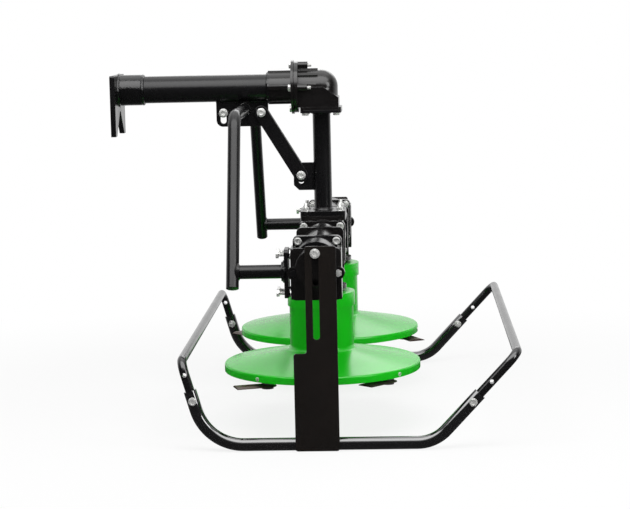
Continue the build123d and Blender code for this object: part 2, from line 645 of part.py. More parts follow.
with BuildPart() as foot:
    with BuildSketch(across(foot_x)):
        with Locations((-foot_y, foot_z)):
            RectangleRounded(FOOT_WIDTH, FOOT_HEIGHT, FOOT_ROUND)
    extrude(amount=FOOT_THICK)
    with BuildSketch(across(foot_x + FOOT_THICK)):
        with Locations((-foot_y, foot_z)):
            with GridLocations(FOOT_BOLTS_ACROSS, FOOT_BOLTS_UP, 2, 2):
                Circle(FOOT_SPACER_RADIUS)
    extrude(amount=FOOT_SPACER)
    with BuildSketch(across(foot_x)):
        with Locations((-foot_y, foot_z)):
            with GridLocations(FOOT_BOLTS_ACROSS, FOOT_BOLTS_UP, 2, 2):
                Circle(FOOT_BOLT_RADIUS + BOLT_CLEAR)
    extrude(amount=FOOT_THICK + FOOT_SPACER, mode=Mode.SUBTRACT)
save_pair(foot.part, "brace_foot")

with BuildPart() as brace_outline:
    with BuildLine(across(-BRACE_BACK)) as brace_path:
        FilletPolyline(*brace_route, radius=BRACE_BEND)
    with BuildSketch(Plane(origin=brace_path.wire() @ 0, z_dir=brace_path.wire() % 0)):
        Circle(BRACE_OD / 2)
    sweep()

with BuildPart() as brace_tube:
    with BuildLine(across(-BRACE_BACK)) as brace_path:
        FilletPolyline(*brace_route, radius=BRACE_BEND)
    with BuildSketch(Plane(origin=brace_path.wire() @ 0, z_dir=brace_path.wire() % 0)):
        Circle(BRACE_OD / 2)
        Circle(BRACE_OD / 2 - BRACE_WALL, mode=Mode.SUBTRACT)
    sweep()
save(brace_tube.part, "brace_tube")

stub_start = -BRACE_BACK + BRACE_OD / 2 - STUB_LAP

with BuildPart() as stub:
    with BuildSketch(across(stub_start)):
        with Locations((-stub_y, stub_z)):
            Circle(STUB_OD / 2)
            Circle(STUB_OD / 2 - STUB_WALL, mode=Mode.SUBTRACT)
    extrude(amount=foot_x - stub_start)
    with BuildSketch(across(foot_x - STUB_RING_LENGTH)):
        with Locations((-stub_y, stub_z)):
            Circle(STUB_RING_RADIUS)
            Circle(STUB_OD / 2 - STUB_WALL, mode=Mode.SUBTRACT)
    extrude(amount=STUB_RING_LENGTH)
    add(brace_outline.part, mode=Mode.SUBTRACT)
save_pair(stub.part, "brace_stub")

# Side plates stand on the skids and slide on the end brackets' bosses
plate_top = beam_z + BOSS_BOLT_RISE + SIDE_PLATE_TOP_LAND

with BuildPart() as side_plate:
    with BuildSketch(side(-TRACK_HALF)) as side_outline:
        with BuildLine():
            Polyline(
                (-SIDE_PLATE_NECK_REAR, plate_top),
                (SIDE_PLATE_FRONT, plate_top),
                (SIDE_PLATE_FRONT, SIDE_PLATE_GROUND_GAP),
                (-SIDE_PLATE_REAR, SIDE_PLATE_GROUND_GAP),
                (-SIDE_PLATE_REAR, SIDE_PLATE_STEP),
                (-SIDE_PLATE_NECK_REAR, SIDE_PLATE_STEP),
                close=True,
            )
        make_face()
        fillet(side_outline.vertices(), SIDE_PLATE_ROUND)
        with Locations((0, beam_z + BOSS_BOLT_RISE - SLOT_LENGTH / 2)):
            SlotCenterToCenter(
                SLOT_LENGTH, 2 * (SLOT_BOLT_RADIUS + BOLT_CLEAR), rotation=90, mode=Mode.SUBTRACT
            )
    extrude(amount=SIDE_PLATE_THICK)
save_pair(side_plate.part, "side_plate")

# Guard: each arm's line runs from its knee on the ground, through the sleeve's end, to the hoop
GUARDS = {
    # end: (hoop forward of the column, hoop height, arm's angle from forward, height of the sleeve's end)
    "rear": (-REAR_HOOP_REACH, REAR_HOOP_HEIGHT, 180 - REAR_ARM_ANGLE, REAR_SLEEVE_TOP),
    "front": (FRONT_REACH - HOOP_OD / 2, FRONT_HOOP_HEIGHT, FRONT_ARM_ANGLE, FRONT_SLEEVE_TOP),
}


def arm_point(end, height):
    """Point on a guard arm's axis at a height: forward of the column, and up."""
    hoop_x, hoop_z, angle, _ = GUARDS[end]
    return hoop_x - (hoop_z - height) * cos(radians(angle)) / sin(radians(angle)), height


def along_arm(end, distance):
    """Point on a guard arm's axis at a distance up from the end of the skid's sleeve."""
    angle, sleeve_top = GUARDS[end][2:]
    return arm_point(end, sleeve_top + distance * sin(radians(angle)))


skid_route = [
    along_arm("rear", 0),
    arm_point("rear", skid_z),
    arm_point("front", skid_z),
    along_arm("front", 0),
]

with BuildPart() as skid:
    with BuildLine(side(-skid_y)) as skid_path:
        FilletPolyline(*skid_route, radius=(REAR_SKID_BEND, FRONT_SKID_BEND))
    with BuildSketch(Plane(origin=skid_path.wire() @ 0, z_dir=skid_path.wire() % 0)):
        Circle(SKID_OD / 2)
        Circle(HOOP_OD / 2 + SEAT_CLEAR, mode=Mode.SUBTRACT)
    sweep()
    with BuildSketch(side(-skid_y + SKID_OD / 2)):
        with Locations(along_arm("rear", -SLEEVE_BOLT_DROP), along_arm("front", -SLEEVE_BOLT_DROP)):
            Circle(GUARD_BOLT_RADIUS + BOLT_CLEAR)
    extrude(amount=SKID_OD, mode=Mode.SUBTRACT)
save_pair(skid.part, "skid")

for end, (hoop_x, hoop_z, angle, _) in GUARDS.items():
    rise = Vector(cos(radians(angle)), 0, sin(radians(angle)))
    sleeve_end = along_arm(end, 0)
    leg = hypot(hoop_x - sleeve_end[0], hoop_z - sleeve_end[1]) + SLEEVE_INSERT
    slope = Plane(origin=(COLUMN_X + hoop_x, 0, hoop_z), x_dir=(0, 1, 0), z_dir=(rise.Z, 0, -rise.X))
    with BuildPart() as hoop:
        with BuildLine(slope) as hoop_path:
            FilletPolyline((-skid_y, -leg), (-skid_y, 0), (skid_y, 0), (skid_y, -leg), radius=HOOP_BEND)
        with BuildSketch(Plane(origin=hoop_path.wire() @ 0, z_dir=hoop_path.wire() % 0)):
            Circle(HOOP_OD / 2)
        sweep()
        with BuildSketch(side(skid_y + HOOP_OD / 2)):
            with Locations(along_arm(end, -SLEEVE_BOLT_DROP), along_arm(end, SPARE_HOLE_RISE)):
                Circle(GUARD_BOLT_RADIUS + BOLT_CLEAR)
        extrude(amount=2 * skid_y + HOOP_OD, mode=Mode.SUBTRACT)
    save(hoop.part, f"guard_hoop_{end}")

# Rotors: the knives' azimuths are a quarter turn apart, and each knife has swung on its pin
ROTORS = {
    # side: (axis y, azimuth of the first knife, swing of each knife from the radius)
    "right": (-ROTOR_Y, 52.0, (20.0, -15.0, -33.0, -95.0)),
    "left": (ROTOR_Y, -7.0, (-57.0, 25.0, -40.0, 10.0)),
}
knife_z = carrier_z - PIN_SHOULDER - KNIFE_PLAY - KNIFE_THICK
shank_z = knife_z - KNIFE_PLAY
hub_z = rotor_top - DISH_TOP - HUB_THICK

for rotor, (rotor_y, phase, swings) in ROTORS.items():
    with BuildPart() as dish:
        with BuildSketch(side(rotor_y)) as dish_profile:
            with BuildLine():
                Polyline(
                    (RIM_RADIUS, RIM_GROUND_GAP),
                    (RIM_RADIUS, rim_top),
                    (DRUM_RADIUS, cone_top),
                    (DRUM_RADIUS, collar_base),
                    (COLLAR_RADIUS, collar_base),
                    (COLLAR_RADIUS, rotor_top),
                    (SHAFT_RADIUS + RUN_CLEAR, rotor_top),
                    (SHAFT_RADIUS + RUN_CLEAR, rotor_top - DISH_TOP),
                    (DRUM_RADIUS - SHEET, rotor_top - DISH_TOP),
                    (DRUM_RADIUS - SHEET, cone_top - SHEET),
                    (RIM_RADIUS - SHEET, rim_top - SHEET),
                    (RIM_RADIUS - SHEET, RIM_GROUND_GAP),
                    close=True,
                )
            make_face()
            fillet(dish_profile.vertices().sort_by_distance((RIM_RADIUS, rim_top))[0], RIM_ROUND)
            fillet(dish_profile.vertices().sort_by_distance((DRUM_RADIUS, cone_top))[0], CONE_ROUND)
        revolve(axis=Axis((COLUMN_X, rotor_y, 0), (0, 0, 1)))
    save(dish.part, f"rotor_dish_{rotor}")

    with BuildPart() as carrier:
        with BuildSketch(level(carrier_z, rotor_y)):
            Circle(RIM_RADIUS - SHEET - SEAT_CLEAR)
            Circle(CARRIER_EYE_RADIUS, mode=Mode.SUBTRACT)
            with PolarLocations(knife_pivot, KNIVES, start_angle=phase):
                Circle(PIN_RADIUS + RUN_CLEAR, mode=Mode.SUBTRACT)
            with PolarLocations(RIM_RADIUS - CARRIER_HOLE_INSET, KNIVES, start_angle=phase + 180 / KNIVES):
                Circle(CARRIER_HOLE_RADIUS, mode=Mode.SUBTRACT)
        extrude(amount=CARRIER_THICK)
    save(carrier.part, f"rotor_carrier_{rotor}")

    with BuildPart() as shaft:
        with BuildSketch(level(hub_z, rotor_y)):
            Circle(HUB_RADIUS)
        extrude(amount=HUB_THICK)
        with BuildSketch(level(hub_z + HUB_THICK, rotor_y)):
            Circle(SHAFT_RADIUS)
        extrude(amount=DISH_TOP + ROTOR_GAP + SHAFT_IN_NECK)
        with BuildSketch(level(hub_z, rotor_y)):
            RegularPolygon(HUB_NUT_RADIUS, 6)
        extrude(amount=-HUB_NUT_HEIGHT)
    save(shaft.part, f"rotor_shaft_{rotor}")

    pin_steps = [
        # radius, foot, height
        (PIN_HEAD_RADIUS, shank_z - PIN_HEAD_HEIGHT, PIN_HEAD_HEIGHT),
        (PIN_RADIUS, shank_z, carrier_z + CARRIER_THICK - shank_z),
        (PIN_HEAD_RADIUS, carrier_z - PIN_SHOULDER, PIN_SHOULDER),
        (PIN_HEAD_RADIUS, carrier_z + CARRIER_THICK, PIN_NUT_HEIGHT),
    ]
    with BuildPart() as pins:
        for step_radius, step_foot, step_height in pin_steps:
            with BuildSketch(level(step_foot, rotor_y)):
                with PolarLocations(knife_pivot, KNIVES, start_angle=phase):
                    Circle(step_radius)
            extrude(amount=step_height)
    save(pins.part, f"knife_pins_{rotor}")

    for number, swing in enumerate(swings):
        azimuth = radians(phase + number * 360 / KNIVES)
        pivot = (
            COLUMN_X + knife_pivot * cos(azimuth),
            rotor_y + knife_pivot * sin(azimuth),
            knife_z,
        )
        heading = azimuth + radians(swing)
        with BuildPart() as knife:
            with BuildSketch(Plane(origin=pivot, x_dir=(cos(heading), sin(heading), 0), z_dir=(0, 0, 1))):
                Circle(KNIFE_WIDTH / 2)
                with Locations((KNIFE_REACH / 2, 0)):
                    Rectangle(KNIFE_REACH, KNIFE_WIDTH)
                Circle(PIN_RADIUS + PIN_CLEAR, mode=Mode.SUBTRACT)
            extrude(amount=KNIFE_THICK)
            knife_top = knife.faces().sort_by(Axis.Z)[-1]
            cutting_edges = knife_top.edges().filter_by(GeomType.LINE).sort_by(SortBy.LENGTH)[-2:]
            chamfer(cutting_edges, KNIFE_BEVEL, KNIFE_THICK - KNIFE_EDGE, reference=knife_top)
        save(knife.part, f"knife_{rotor}_{number + 1}")
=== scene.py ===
"""Rotary mower for a two-wheel tractor: paint, fasteners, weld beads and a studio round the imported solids."""
import json
import math

import bpy
from bpy.props import FloatProperty, FloatVectorProperty, PointerProperty
from mathutils import Euler, Matrix, Vector

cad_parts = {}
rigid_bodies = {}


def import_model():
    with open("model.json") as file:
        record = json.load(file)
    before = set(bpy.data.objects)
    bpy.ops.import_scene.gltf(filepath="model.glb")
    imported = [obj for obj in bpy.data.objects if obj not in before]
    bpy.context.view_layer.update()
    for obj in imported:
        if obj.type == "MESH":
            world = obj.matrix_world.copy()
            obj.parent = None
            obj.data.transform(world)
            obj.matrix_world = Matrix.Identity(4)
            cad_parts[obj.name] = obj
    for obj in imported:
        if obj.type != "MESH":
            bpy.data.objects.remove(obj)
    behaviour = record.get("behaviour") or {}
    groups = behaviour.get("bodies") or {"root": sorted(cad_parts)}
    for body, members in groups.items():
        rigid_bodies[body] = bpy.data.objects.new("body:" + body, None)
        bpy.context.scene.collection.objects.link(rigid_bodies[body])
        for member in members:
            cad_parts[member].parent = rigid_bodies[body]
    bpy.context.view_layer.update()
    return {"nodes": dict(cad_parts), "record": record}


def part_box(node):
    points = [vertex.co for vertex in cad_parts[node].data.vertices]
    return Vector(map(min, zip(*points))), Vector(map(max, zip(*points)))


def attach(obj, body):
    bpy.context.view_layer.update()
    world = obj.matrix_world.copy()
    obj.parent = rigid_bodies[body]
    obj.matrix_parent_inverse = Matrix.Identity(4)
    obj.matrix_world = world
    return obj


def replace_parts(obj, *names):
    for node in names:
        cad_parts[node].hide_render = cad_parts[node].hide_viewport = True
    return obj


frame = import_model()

bl_info = {
    "name": "Rotary Mower Dresser",
    "version": (1, 0, 0),
    "blender": (4, 5, 0),
    "location": "View3D > Sidebar > Mower",
    "description": "Paints the mower's solids and adds its bolts, weld beads and studio",
    "category": "Object",
}

MM = 0.001
SIDES = {"right": -1, "left": 1}
BACK, FRONT = Vector((-1, 0, 0)), Vector((1, 0, 0))
RIGHT, LEFT = Vector((0, -1, 0)), Vector((0, 1, 0))
DOWN, UP = Vector((0, 0, -1)), Vector((0, 0, 1))
MERGE = 0.01 * MM  # points nearer than this become one
NOISE_LOW, NOISE_HIGH = 0.3, 0.7  # most values of a noise lie between these
WHITE = (1, 1, 1, 1)
FLOOR_RADIUS = 40
AIM_HEIGHT = 0.32  # what the lamps point at, over the ground
SENSOR = 36  # width in millimetres
# Paint or metal of each slot
SLOT_PAINT = {
    "black_paint": "satin_black_enamel",
    "black_casting": "black_painted_casting",
    "green_paint": "gloss_green_enamel",
    "machined_steel": "turned_steel",
    "knife_steel": "hardened_knife_steel",
}
# Solids whose paint differs from the rest of their slot
OWN_PAINT = {
    "coupling_socket": "rough_painted_socket",
    "side_plate_right": "brown_black_enamel",
    "side_plate_left": "brown_black_enamel",
    "skid_right": "lacquered_black_enamel",
    "skid_left": "lacquered_black_enamel",
    "guard_hoop_front": "gloss_black_enamel",
    "guard_hoop_rear": "gloss_black_enamel",
}


def linear(code):
    """Linear red, green and blue of an sRGB hex colour."""
    values = [int(code[i:i + 2], 16) / 255 for i in (1, 3, 5)]
    return tuple(v / 12.92 if v <= 0.04045 else ((v + 0.055) / 1.055) ** 2.4 for v in values)


def low(node):
    """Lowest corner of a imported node's box."""
    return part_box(node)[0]


def high(node):
    """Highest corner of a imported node's box."""
    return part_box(node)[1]


def middle(node):
    """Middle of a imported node's box."""
    return (low(node) + high(node)) / 2


# Axes that the frame gives
COLUMN_X = middle("column").x
DRIVE_Z = middle("drive_tube").z
BEAM_Z = middle("outrigger_right").z


def length(name, description, millimetres):
    """A length property with its default in millimetres."""
    return FloatProperty(name=name, description=description, default=millimetres * MM, unit="LENGTH",
                         precision=5)


def angle(name, description, degrees):
    """An angle property with its default in degrees."""
    return FloatProperty(name=name, description=description, default=math.radians(degrees), subtype="ANGLE")


def colour(name, description, code):
    """A colour property with its default as an sRGB hex value."""
    return FloatVectorProperty(name=name, description=description, default=linear(code), subtype="COLOR",
                               size=3, min=0.0, max=1.0)


def brightness(name, description, value, most):
    """A strength property from nothing up to a most."""
    return FloatProperty(name=name, description=description, default=value, min=0.0, max=most)


class MowerColours(bpy.types.PropertyGroup):
    """Colours of the paints and metals."""
    black: colour("Black enamel", "Paint of the tubes and brackets", "#0b0b0c")
    black_drift: colour("Black drift", "Paler patches of the black paint", "#111012")
    plate: colour("Plate enamel", "Paint of the side plates, which is a little brown", "#12100f")
    plate_drift: colour("Plate drift", "Browner patches of the side plates", "#1d1815")
    casting: colour("Black casting", "Paint of the gear cases", "#100e0e")
    green: colour("Green enamel", "Paint of the dishes", "#04b609")
    green_drift: colour("Green drift", "Lighter patches of the green paint", "#08c00c")
    zinc: colour("Zinc plate", "Plating of the bolts and washers", "#f0f0ee")
    zinc_drift: colour("Zinc drift", "Duller patches of the plating", "#d4d5d2")
    knife: colour("Knife scale", "Dark scale of the hardened knives", "#3a2a25")
    ground: colour("Ground edge", "Bare steel of the knives' bevels", "#5c524d")
    steel: colour("Turned steel", "Shafts and pins", "#94979a")
    plastic: colour("Plastic", "Plugs in the ends of the brace", "#101011")


class MowerHoles(bpy.types.PropertyGroup):
    """Where the drilled holes lie on the solids."""
    beam_spacing: length("Beam spacing", "Between the bolts of a beam flange", 76.0)
    beam_flange: length("Beam flange", "Thickness of a beam flange", 10.0)
    foot_spacing: length("Column foot spacing", "Between the bolts of the column's foot", 72.0)
    foot_flange: length("Column foot flange", "Thickness of the column's foot", 10.0)
    head_spacing: length("Column head spacing", "Between the bolts of the column's head", 66.0)
    head_flange: length("Column head flange", "Thickness of the column's head", 6.0)
    drive_circle: length("Drive bolt circle", "Radius of the drive flange's bolt circle", 46.0)
    drive_flange: length("Drive flange", "Thickness of the drive flange", 5.5)
    drive_lug: length("Drive lug", "Rear of the upper case to the front of its lugs", 29.0)
    bracket_inset: length("Bracket inset", "Bracket's edge in to its bolt", 15.0)
    bracket_drop: length("Bracket drop", "Bracket's top down to its bolts", 24.0)
    lug_inset: length("Lug inset", "Lug's rear edge in to its bolt", 16.0)
    lug_drop: length("Lug drop", "Lug's top down to its bolt", 27.0)
    brace_across: length("Brace foot across", "Between the bolts of a brace foot, across", 34.0)
    brace_up: length("Brace foot up", "Between the bolts of a brace foot, upwards", 75.0)
    ear_reach: length("Ear reach", "Beam axis out to an ear's bolt", 43.0)
    ear_drop: length("Ear drop", "Beam axis down to an ear's bolt", 14.0)
    ear_gap: length("Ear gap", "Ear's face to the side plate", 24.5)
    slot_drop: length("Slot bolt drop", "Side plate's top down to its bolt", 14.0)
    rear_sleeve: length("Rear sleeve", "Height of the rear ends of the skids", 120.0)
    front_sleeve: length("Front sleeve", "Height of the front ends of the skids", 107.0)
    sleeve_drop: length("Sleeve drop", "Skid's end down along the arm to its bolt", 20.0)
    rear_arm: angle("Rear arm", "Slope of the rear hoop's arms from level", 74.0)
    front_arm: angle("Front arm", "Slope of the front hoop's arms from level", 47.0)
    rim_height: length("Rim screw height", "Rim's lower edge up to its screws", 6.0)


class MowerFasteners(bpy.types.PropertyGroup):
    """Sizes of the bolts, nuts and washers."""
    flats: length("Flats", "Across the flats of the heads and nuts", 13.0)
    head: length("Head", "Height of a bolt's head", 5.5)
    nut: length("Nut", "Height of a nut", 6.5)
    shank: length("Shank", "Radius of a bolt's thread", 4.0)
    washer: length("Washer", "Radius of a plain washer", 8.0)
    wide_washer: length("Wide washer", "Radius of a wide washer, on the slots and the bracing", 9.6)
    washer_thick: length("Washer thickness", "Thickness of the nuts' washers", 1.6)
    flange: length("Flange", "Thickness of the flange under a bolt's head", 2.6)
    thread_end: length("Thread end", "Thread that stands out of a nut", 4.0)
    long_end: length("Long thread end", "Thread that stands out of the column's foot nuts", 9.0)
    screw_reach: length("Screw reach", "Shank that shows under the brace feet's heads", 10.5)
    spacer_flats: length("Spacer flats", "Across the flats of the nuts behind the brace feet", 18.0)
    spacer: length("Spacer nut", "Height of the nuts behind the brace feet", 4.4)
    rim_screw: length("Rim screw", "Radius of the rim screws' heads", 4.5)
    rim_head: length("Rim screw head", "Height of the rim screws' heads", 3.0)
    pitch: length("Thread pitch", "Distance between thread ridges, drawn coarse to show", 1.6)


class MowerTrim(bpy.types.PropertyGroup):
    """Weld beads, end plugs and the rounding of sharp edges."""
    bead: length("Bead", "Radius of a weld bead", 3.0)
    ripple: length("Ripple", "Distance between a bead's ripples", 3.6)
    lump: length("Lump", "Size of a bead's uneven lumps", 6.0)
    column: length("Column", "Radius of the beads round the column", 19.0)
    plug: length("Plug", "Height of the plugs in the brace's ends", 3.0)
    plate_round: length("Plate rounding", "Rounding of the plates' edges", 0.9)
    cast_round: length("Casting rounding", "Rounding of the castings' edges", 1.8)
    dish_round: length("Dish rounding", "Rounding of the dishes' folds", 1.2)
    stub_tuck: length("Stub tuck", "Leg's axis out to the bead round its stub", 10.5)


class MowerStudio(bpy.types.PropertyGroup):
    """Camera and lamps."""
    place: FloatVectorProperty(name="Camera place", description="Where the camera stands", size=3,
                               default=(0.1836, -4.2049, 0.8509), subtype="TRANSLATION", unit="LENGTH")
    pitch: angle("Pitch", "Camera's tilt below level", 7.16)
    turn: angle("Turn", "Camera's turn to its left", 2.45)
    roll: angle("Roll", "Camera's roll, clockwise", 1.26)
    focal: FloatProperty(name="Focal length", description="Lens on its sensor, in millimetres", default=112.8)
    lamp: brightness("Lamps", "Strength of all the lamps together", 1.0, 10.0)
    sky: brightness("Sky", "Light from all round on the object", 0.33, 10.0)
    room: brightness("Room", "How bright the room on the camera's side looks in reflections", 0.06, 1.0)
    ceiling: brightness("Ceiling", "How bright the ceiling looks in reflections", 1.2, 10.0)
    backdrop: brightness("Backdrop", "How bright the backdrop looks in reflections", 1.0, 1.0)


def add_node(tree, kind, inputs=None, **settings):
    """Add a node with its settings; an input is a value, or a socket to link from."""
    made = tree.nodes.new(kind)
    for setting, value in settings.items():
        setattr(made, setting, value)
    for socket, value in (inputs or {}).items():
        if isinstance(value, bpy.types.NodeSocket):
            tree.links.new(value, made.inputs[socket])
        else:
            made.inputs[socket].default_value = value
    return made


def empty_tree(owner):
    """The node tree of a new material or world, with nothing in it."""
    owner.use_nodes = True
    owner.node_tree.nodes.clear()
    return owner.node_tree


def new_material(name):
    """Start a material: its node tree, its Principled shader and object coordinates."""
    tree = empty_tree(bpy.data.materials.new(name))
    coords = add_node(tree, "ShaderNodeTexCoord").outputs["Object"]
    shader = add_node(tree, "ShaderNodeBsdfPrincipled")
    add_node(tree, "ShaderNodeOutputMaterial", {"Surface": shader.outputs["BSDF"]})
    return tree, shader, coords


def rgba(values):
    """A colour property's value with full alpha."""
    return (*values, 1.0)


def noise(tree, coords, size_mm, detail):
    """A noise value whose patches go by a size in millimetres."""
    made = add_node(tree, "ShaderNodeTexNoise",
                    {"Vector": coords, "Scale": 1 / (size_mm * MM), "Detail": detail})
    return made.outputs["Fac"]


def mixed(tree, share, first, second, kind="RGBA"):
    """A colour, or a number, that runs from the first to the second with a share."""
    made = add_node(tree, "ShaderNodeMix", {"Factor": share, "A": first, "B": second}, data_type=kind)
    return made.outputs["Result"]


def calculate(tree, operation, *values, clamp=False):
    """A number worked out from values or sockets."""
    made = add_node(tree, "ShaderNodeMath", dict(enumerate(values)), operation=operation, use_clamp=clamp)
    return made.outputs[0]


def ramp(tree, value, start, end, first, last, kind="SMOOTHSTEP"):
    """A number that runs from first to last while a value runs from start to end."""
    made = add_node(tree, "ShaderNodeMapRange", {"Value": value, "From Min": start, "From Max": end,
                                                 "To Min": first, "To Max": last}, interpolation_type=kind)
    return made.outputs["Result"]


def vary_gloss(tree, shader, value, smooth, rough):
    """Run a shader's roughness from smooth to rough with a noise value."""
    gloss = ramp(tree, value, NOISE_LOW, NOISE_HIGH, smooth, rough, "LINEAR")
    tree.links.new(gloss, shader.inputs["Roughness"])


def emboss(tree, shader, height, strength, depth_mm):
    """Stand a noise value off the surface."""
    bump = add_node(tree, "ShaderNodeBump", {"Height": height, "Strength": strength, "Distance": depth_mm * MM})
    tree.links.new(bump.outputs["Normal"], shader.inputs["Normal"])


def sprayed_enamel(name, base, drift, peel_mm, smooth, rough, specular, coat):
    """Enamel sprayed on steel: even colour with a slow drift, a tight gloss and the ripple of orange peel."""
    tree, shader, coords = new_material(name)
    cloud = noise(tree, coords, size_mm=90, detail=3.0)
    tree.links.new(mixed(tree, cloud, rgba(base), rgba(drift)), shader.inputs["Base Color"])
    vary_gloss(tree, shader, noise(tree, coords, size_mm=60, detail=2.0), smooth, rough)
    emboss(tree, shader, noise(tree, coords, peel_mm, detail=2.0), strength=0.06, depth_mm=0.3)
    shader.inputs["Specular IOR Level"].default_value = specular
    shader.inputs["Coat Weight"].default_value = coat


def painted_casting(name, base, grain_mm, relief, smooth, rough):
    """Rough metal under black paint: the grain of sand or weld shows through, so the gloss breaks up."""
    tree, shader, coords = new_material(name)
    shader.inputs["Base Color"].default_value = rgba(base)
    swell_share = 0.55
    sand = noise(tree, coords, grain_mm, detail=4.0)
    swell = noise(tree, coords, 6 * grain_mm, detail=2.0)
    emboss(tree, shader, mixed(tree, swell_share, sand, swell, "FLOAT"), relief, depth_mm=0.8)
    vary_gloss(tree, shader, swell, smooth, rough)


def bare_metal(name, base, drift, grain_mm, smooth, rough, metallic):
    """Plated or turned steel: clean, duller under zinc; its gloss and tint vary over a few millimetres."""
    tree, shader, coords = new_material(name)
    grain = noise(tree, coords, grain_mm, detail=4.0)
    tree.links.new(mixed(tree, grain, rgba(base), rgba(drift)), shader.inputs["Base Color"])
    vary_gloss(tree, shader, grain, smooth, rough)
    shader.inputs["Metallic"].default_value = metallic


def hardened_knife(name, scale_colour, ground_colour):
    """Hardened spring steel: dark furnace scale on the flats, bare ground metal on the sloped bevels."""
    tree, shader, coords = new_material(name)
    least, most = 0.75, 0.985  # upward share of a bevel's normal
    paler = [1.7 * v for v in scale_colour]
    facing = add_node(tree, "ShaderNodeNewGeometry").outputs["Normal"]
    parts = add_node(tree, "ShaderNodeSeparateXYZ", {"Vector": facing})
    upward = calculate(tree, "ABSOLUTE", parts.outputs["Z"])
    bevel = calculate(tree, "MULTIPLY", calculate(tree, "GREATER_THAN", upward, least),
                      calculate(tree, "LESS_THAN", upward, most))
    dark = mixed(tree, noise(tree, coords, size_mm=7, detail=6.0), rgba(scale_colour), rgba(paler))
    tree.links.new(mixed(tree, bevel, dark, rgba(ground_colour)), shader.inputs["Base Color"])
    shader.inputs["Metallic"].default_value = 0.4
    shader.inputs["Roughness"].default_value = 0.5


def deselect():
    """Leave nothing selected, so that the next operator acts on its own object alone."""
    bpy.ops.object.select_all(action="DESELECT")


def take(piece):
    """Select one object alone and make it the active one."""
    deselect()
    piece.select_set(True)
    bpy.context.view_layer.objects.active = piece


def apply_modifier(piece, kind, **settings):
    """Add a modifier and apply it."""
    modifier = piece.modifiers.new(kind.lower(), kind)
    for setting, value in settings.items():
        setattr(modifier, setting, value)
    take(piece)
    bpy.ops.object.modifier_apply(modifier=modifier.name)


def join(pieces):
    """Join objects into the first one."""
    take(pieces[0])
    for piece in pieces:
        piece.select_set(True)
    if len(pieces) > 1:
        bpy.ops.object.join()
    return pieces[0]


def disc(radius, thick, foot, sides, bevel):
    """A flat round on +Z with both its edges bevelled."""
    deselect()
    bpy.ops.mesh.primitive_cylinder_add(vertices=sides, radius=radius, depth=thick,
                                        location=(0, 0, foot + thick / 2))
    piece = bpy.context.object
    apply_modifier(piece, "BEVEL", width=bevel, segments=2, limit_method="ANGLE",
                   angle_limit=math.radians(60))
    return piece


def cut(piece, tool, operation):
    """Cut a piece with a tool, and take the tool away."""
    apply_modifier(piece, "BOOLEAN", operation=operation, object=tool, solver="EXACT")
    bpy.data.objects.remove(tool)


def hexagon(flats, height, foot):
    """A hexagon on +Z whose corners are turned off above and below."""
    corner = flats / math.sqrt(3)
    turning = disc(corner, height, foot, sides=36, bevel=0.13 * corner)
    deselect()
    # A little taller than the turning, so that no faces coincide
    bpy.ops.mesh.primitive_cylinder_add(vertices=6, radius=corner, depth=1.02 * height,
                                        location=(0, 0, foot + height / 2))
    head = bpy.context.object
    cut(head, turning, "INTERSECT")
    return head


def ringed_rod(radius, reach, foot, pitch, waist, sides):
    """A rod on +Z that swells and narrows every pitch, as a thread or a weld bead does."""
    deselect()
    bpy.ops.mesh.primitive_circle_add(vertices=sides, radius=radius * waist, fill_type="NGON",
                                      location=(0, 0, foot))
    rod = bpy.context.object
    rings = max(2, round(reach / pitch))
    bpy.ops.object.mode_set(mode="EDIT")
    bpy.ops.mesh.select_all(action="SELECT")
    for ring in range(2 * rings):
        grow = 1 / waist if ring % 2 == 0 else waist
        bpy.ops.mesh.extrude_region_move(TRANSFORM_OT_translate={"value": (0, 0, reach / (2 * rings))})
        bpy.ops.transform.resize(value=(grow, grow, 1), center_override=(0, 0, foot))
    bpy.ops.mesh.select_all(action="SELECT")
    bpy.ops.mesh.normals_make_consistent(inside=False)
    bpy.ops.object.mode_set(mode="OBJECT")
    return rod


def roughen(bead, trim, share):
    """Push a weld bead in and out by soft clouds, by a share of its radius."""
    lumps = bpy.data.textures.new("weld_lumps", "CLOUDS")
    lumps.noise_scale = trim.lump
    apply_modifier(bead, "DISPLACE", texture=lumps, texture_coords="LOCAL", mid_level=0.5,
                   strength=share * trim.bead)


def bead_ring(radius, trim):
    """A weld bead in a circle about +Z: rippled across its run and a little uneven."""
    ripples = round(2 * math.pi * radius / trim.ripple)
    sides = 8
    steps = 3  # along each ripple, of which the first is raised
    deselect()
    bpy.ops.mesh.primitive_torus_add(major_segments=steps * ripples, minor_segments=sides, major_radius=radius,
                                     minor_radius=trim.bead)
    bead = bpy.context.object
    for vertex in bead.data.vertices:
        vertex.select = (vertex.index // sides) % steps == 0
    bpy.ops.object.mode_set(mode="EDIT")
    bpy.ops.mesh.select_mode(type="VERT")
    bpy.ops.transform.shrink_fatten(value=0.22 * trim.bead)
    bpy.ops.object.mode_set(mode="OBJECT")
    roughen(bead, trim, share=0.5)
    return bead


def bead_run(reach, trim):
    """A straight weld bead along +Z from the origin."""
    bead = ringed_rod(trim.bead, reach, 0.0, trim.ripple, waist=0.82, sides=8)
    roughen(bead, trim, share=0.3)
    return bead


def thread(sizes, reach, foot):
    """A length of a bolt's thread on +Z."""
    return ringed_rod(sizes.shank, reach, foot, sizes.pitch, waist=0.86, sides=16)


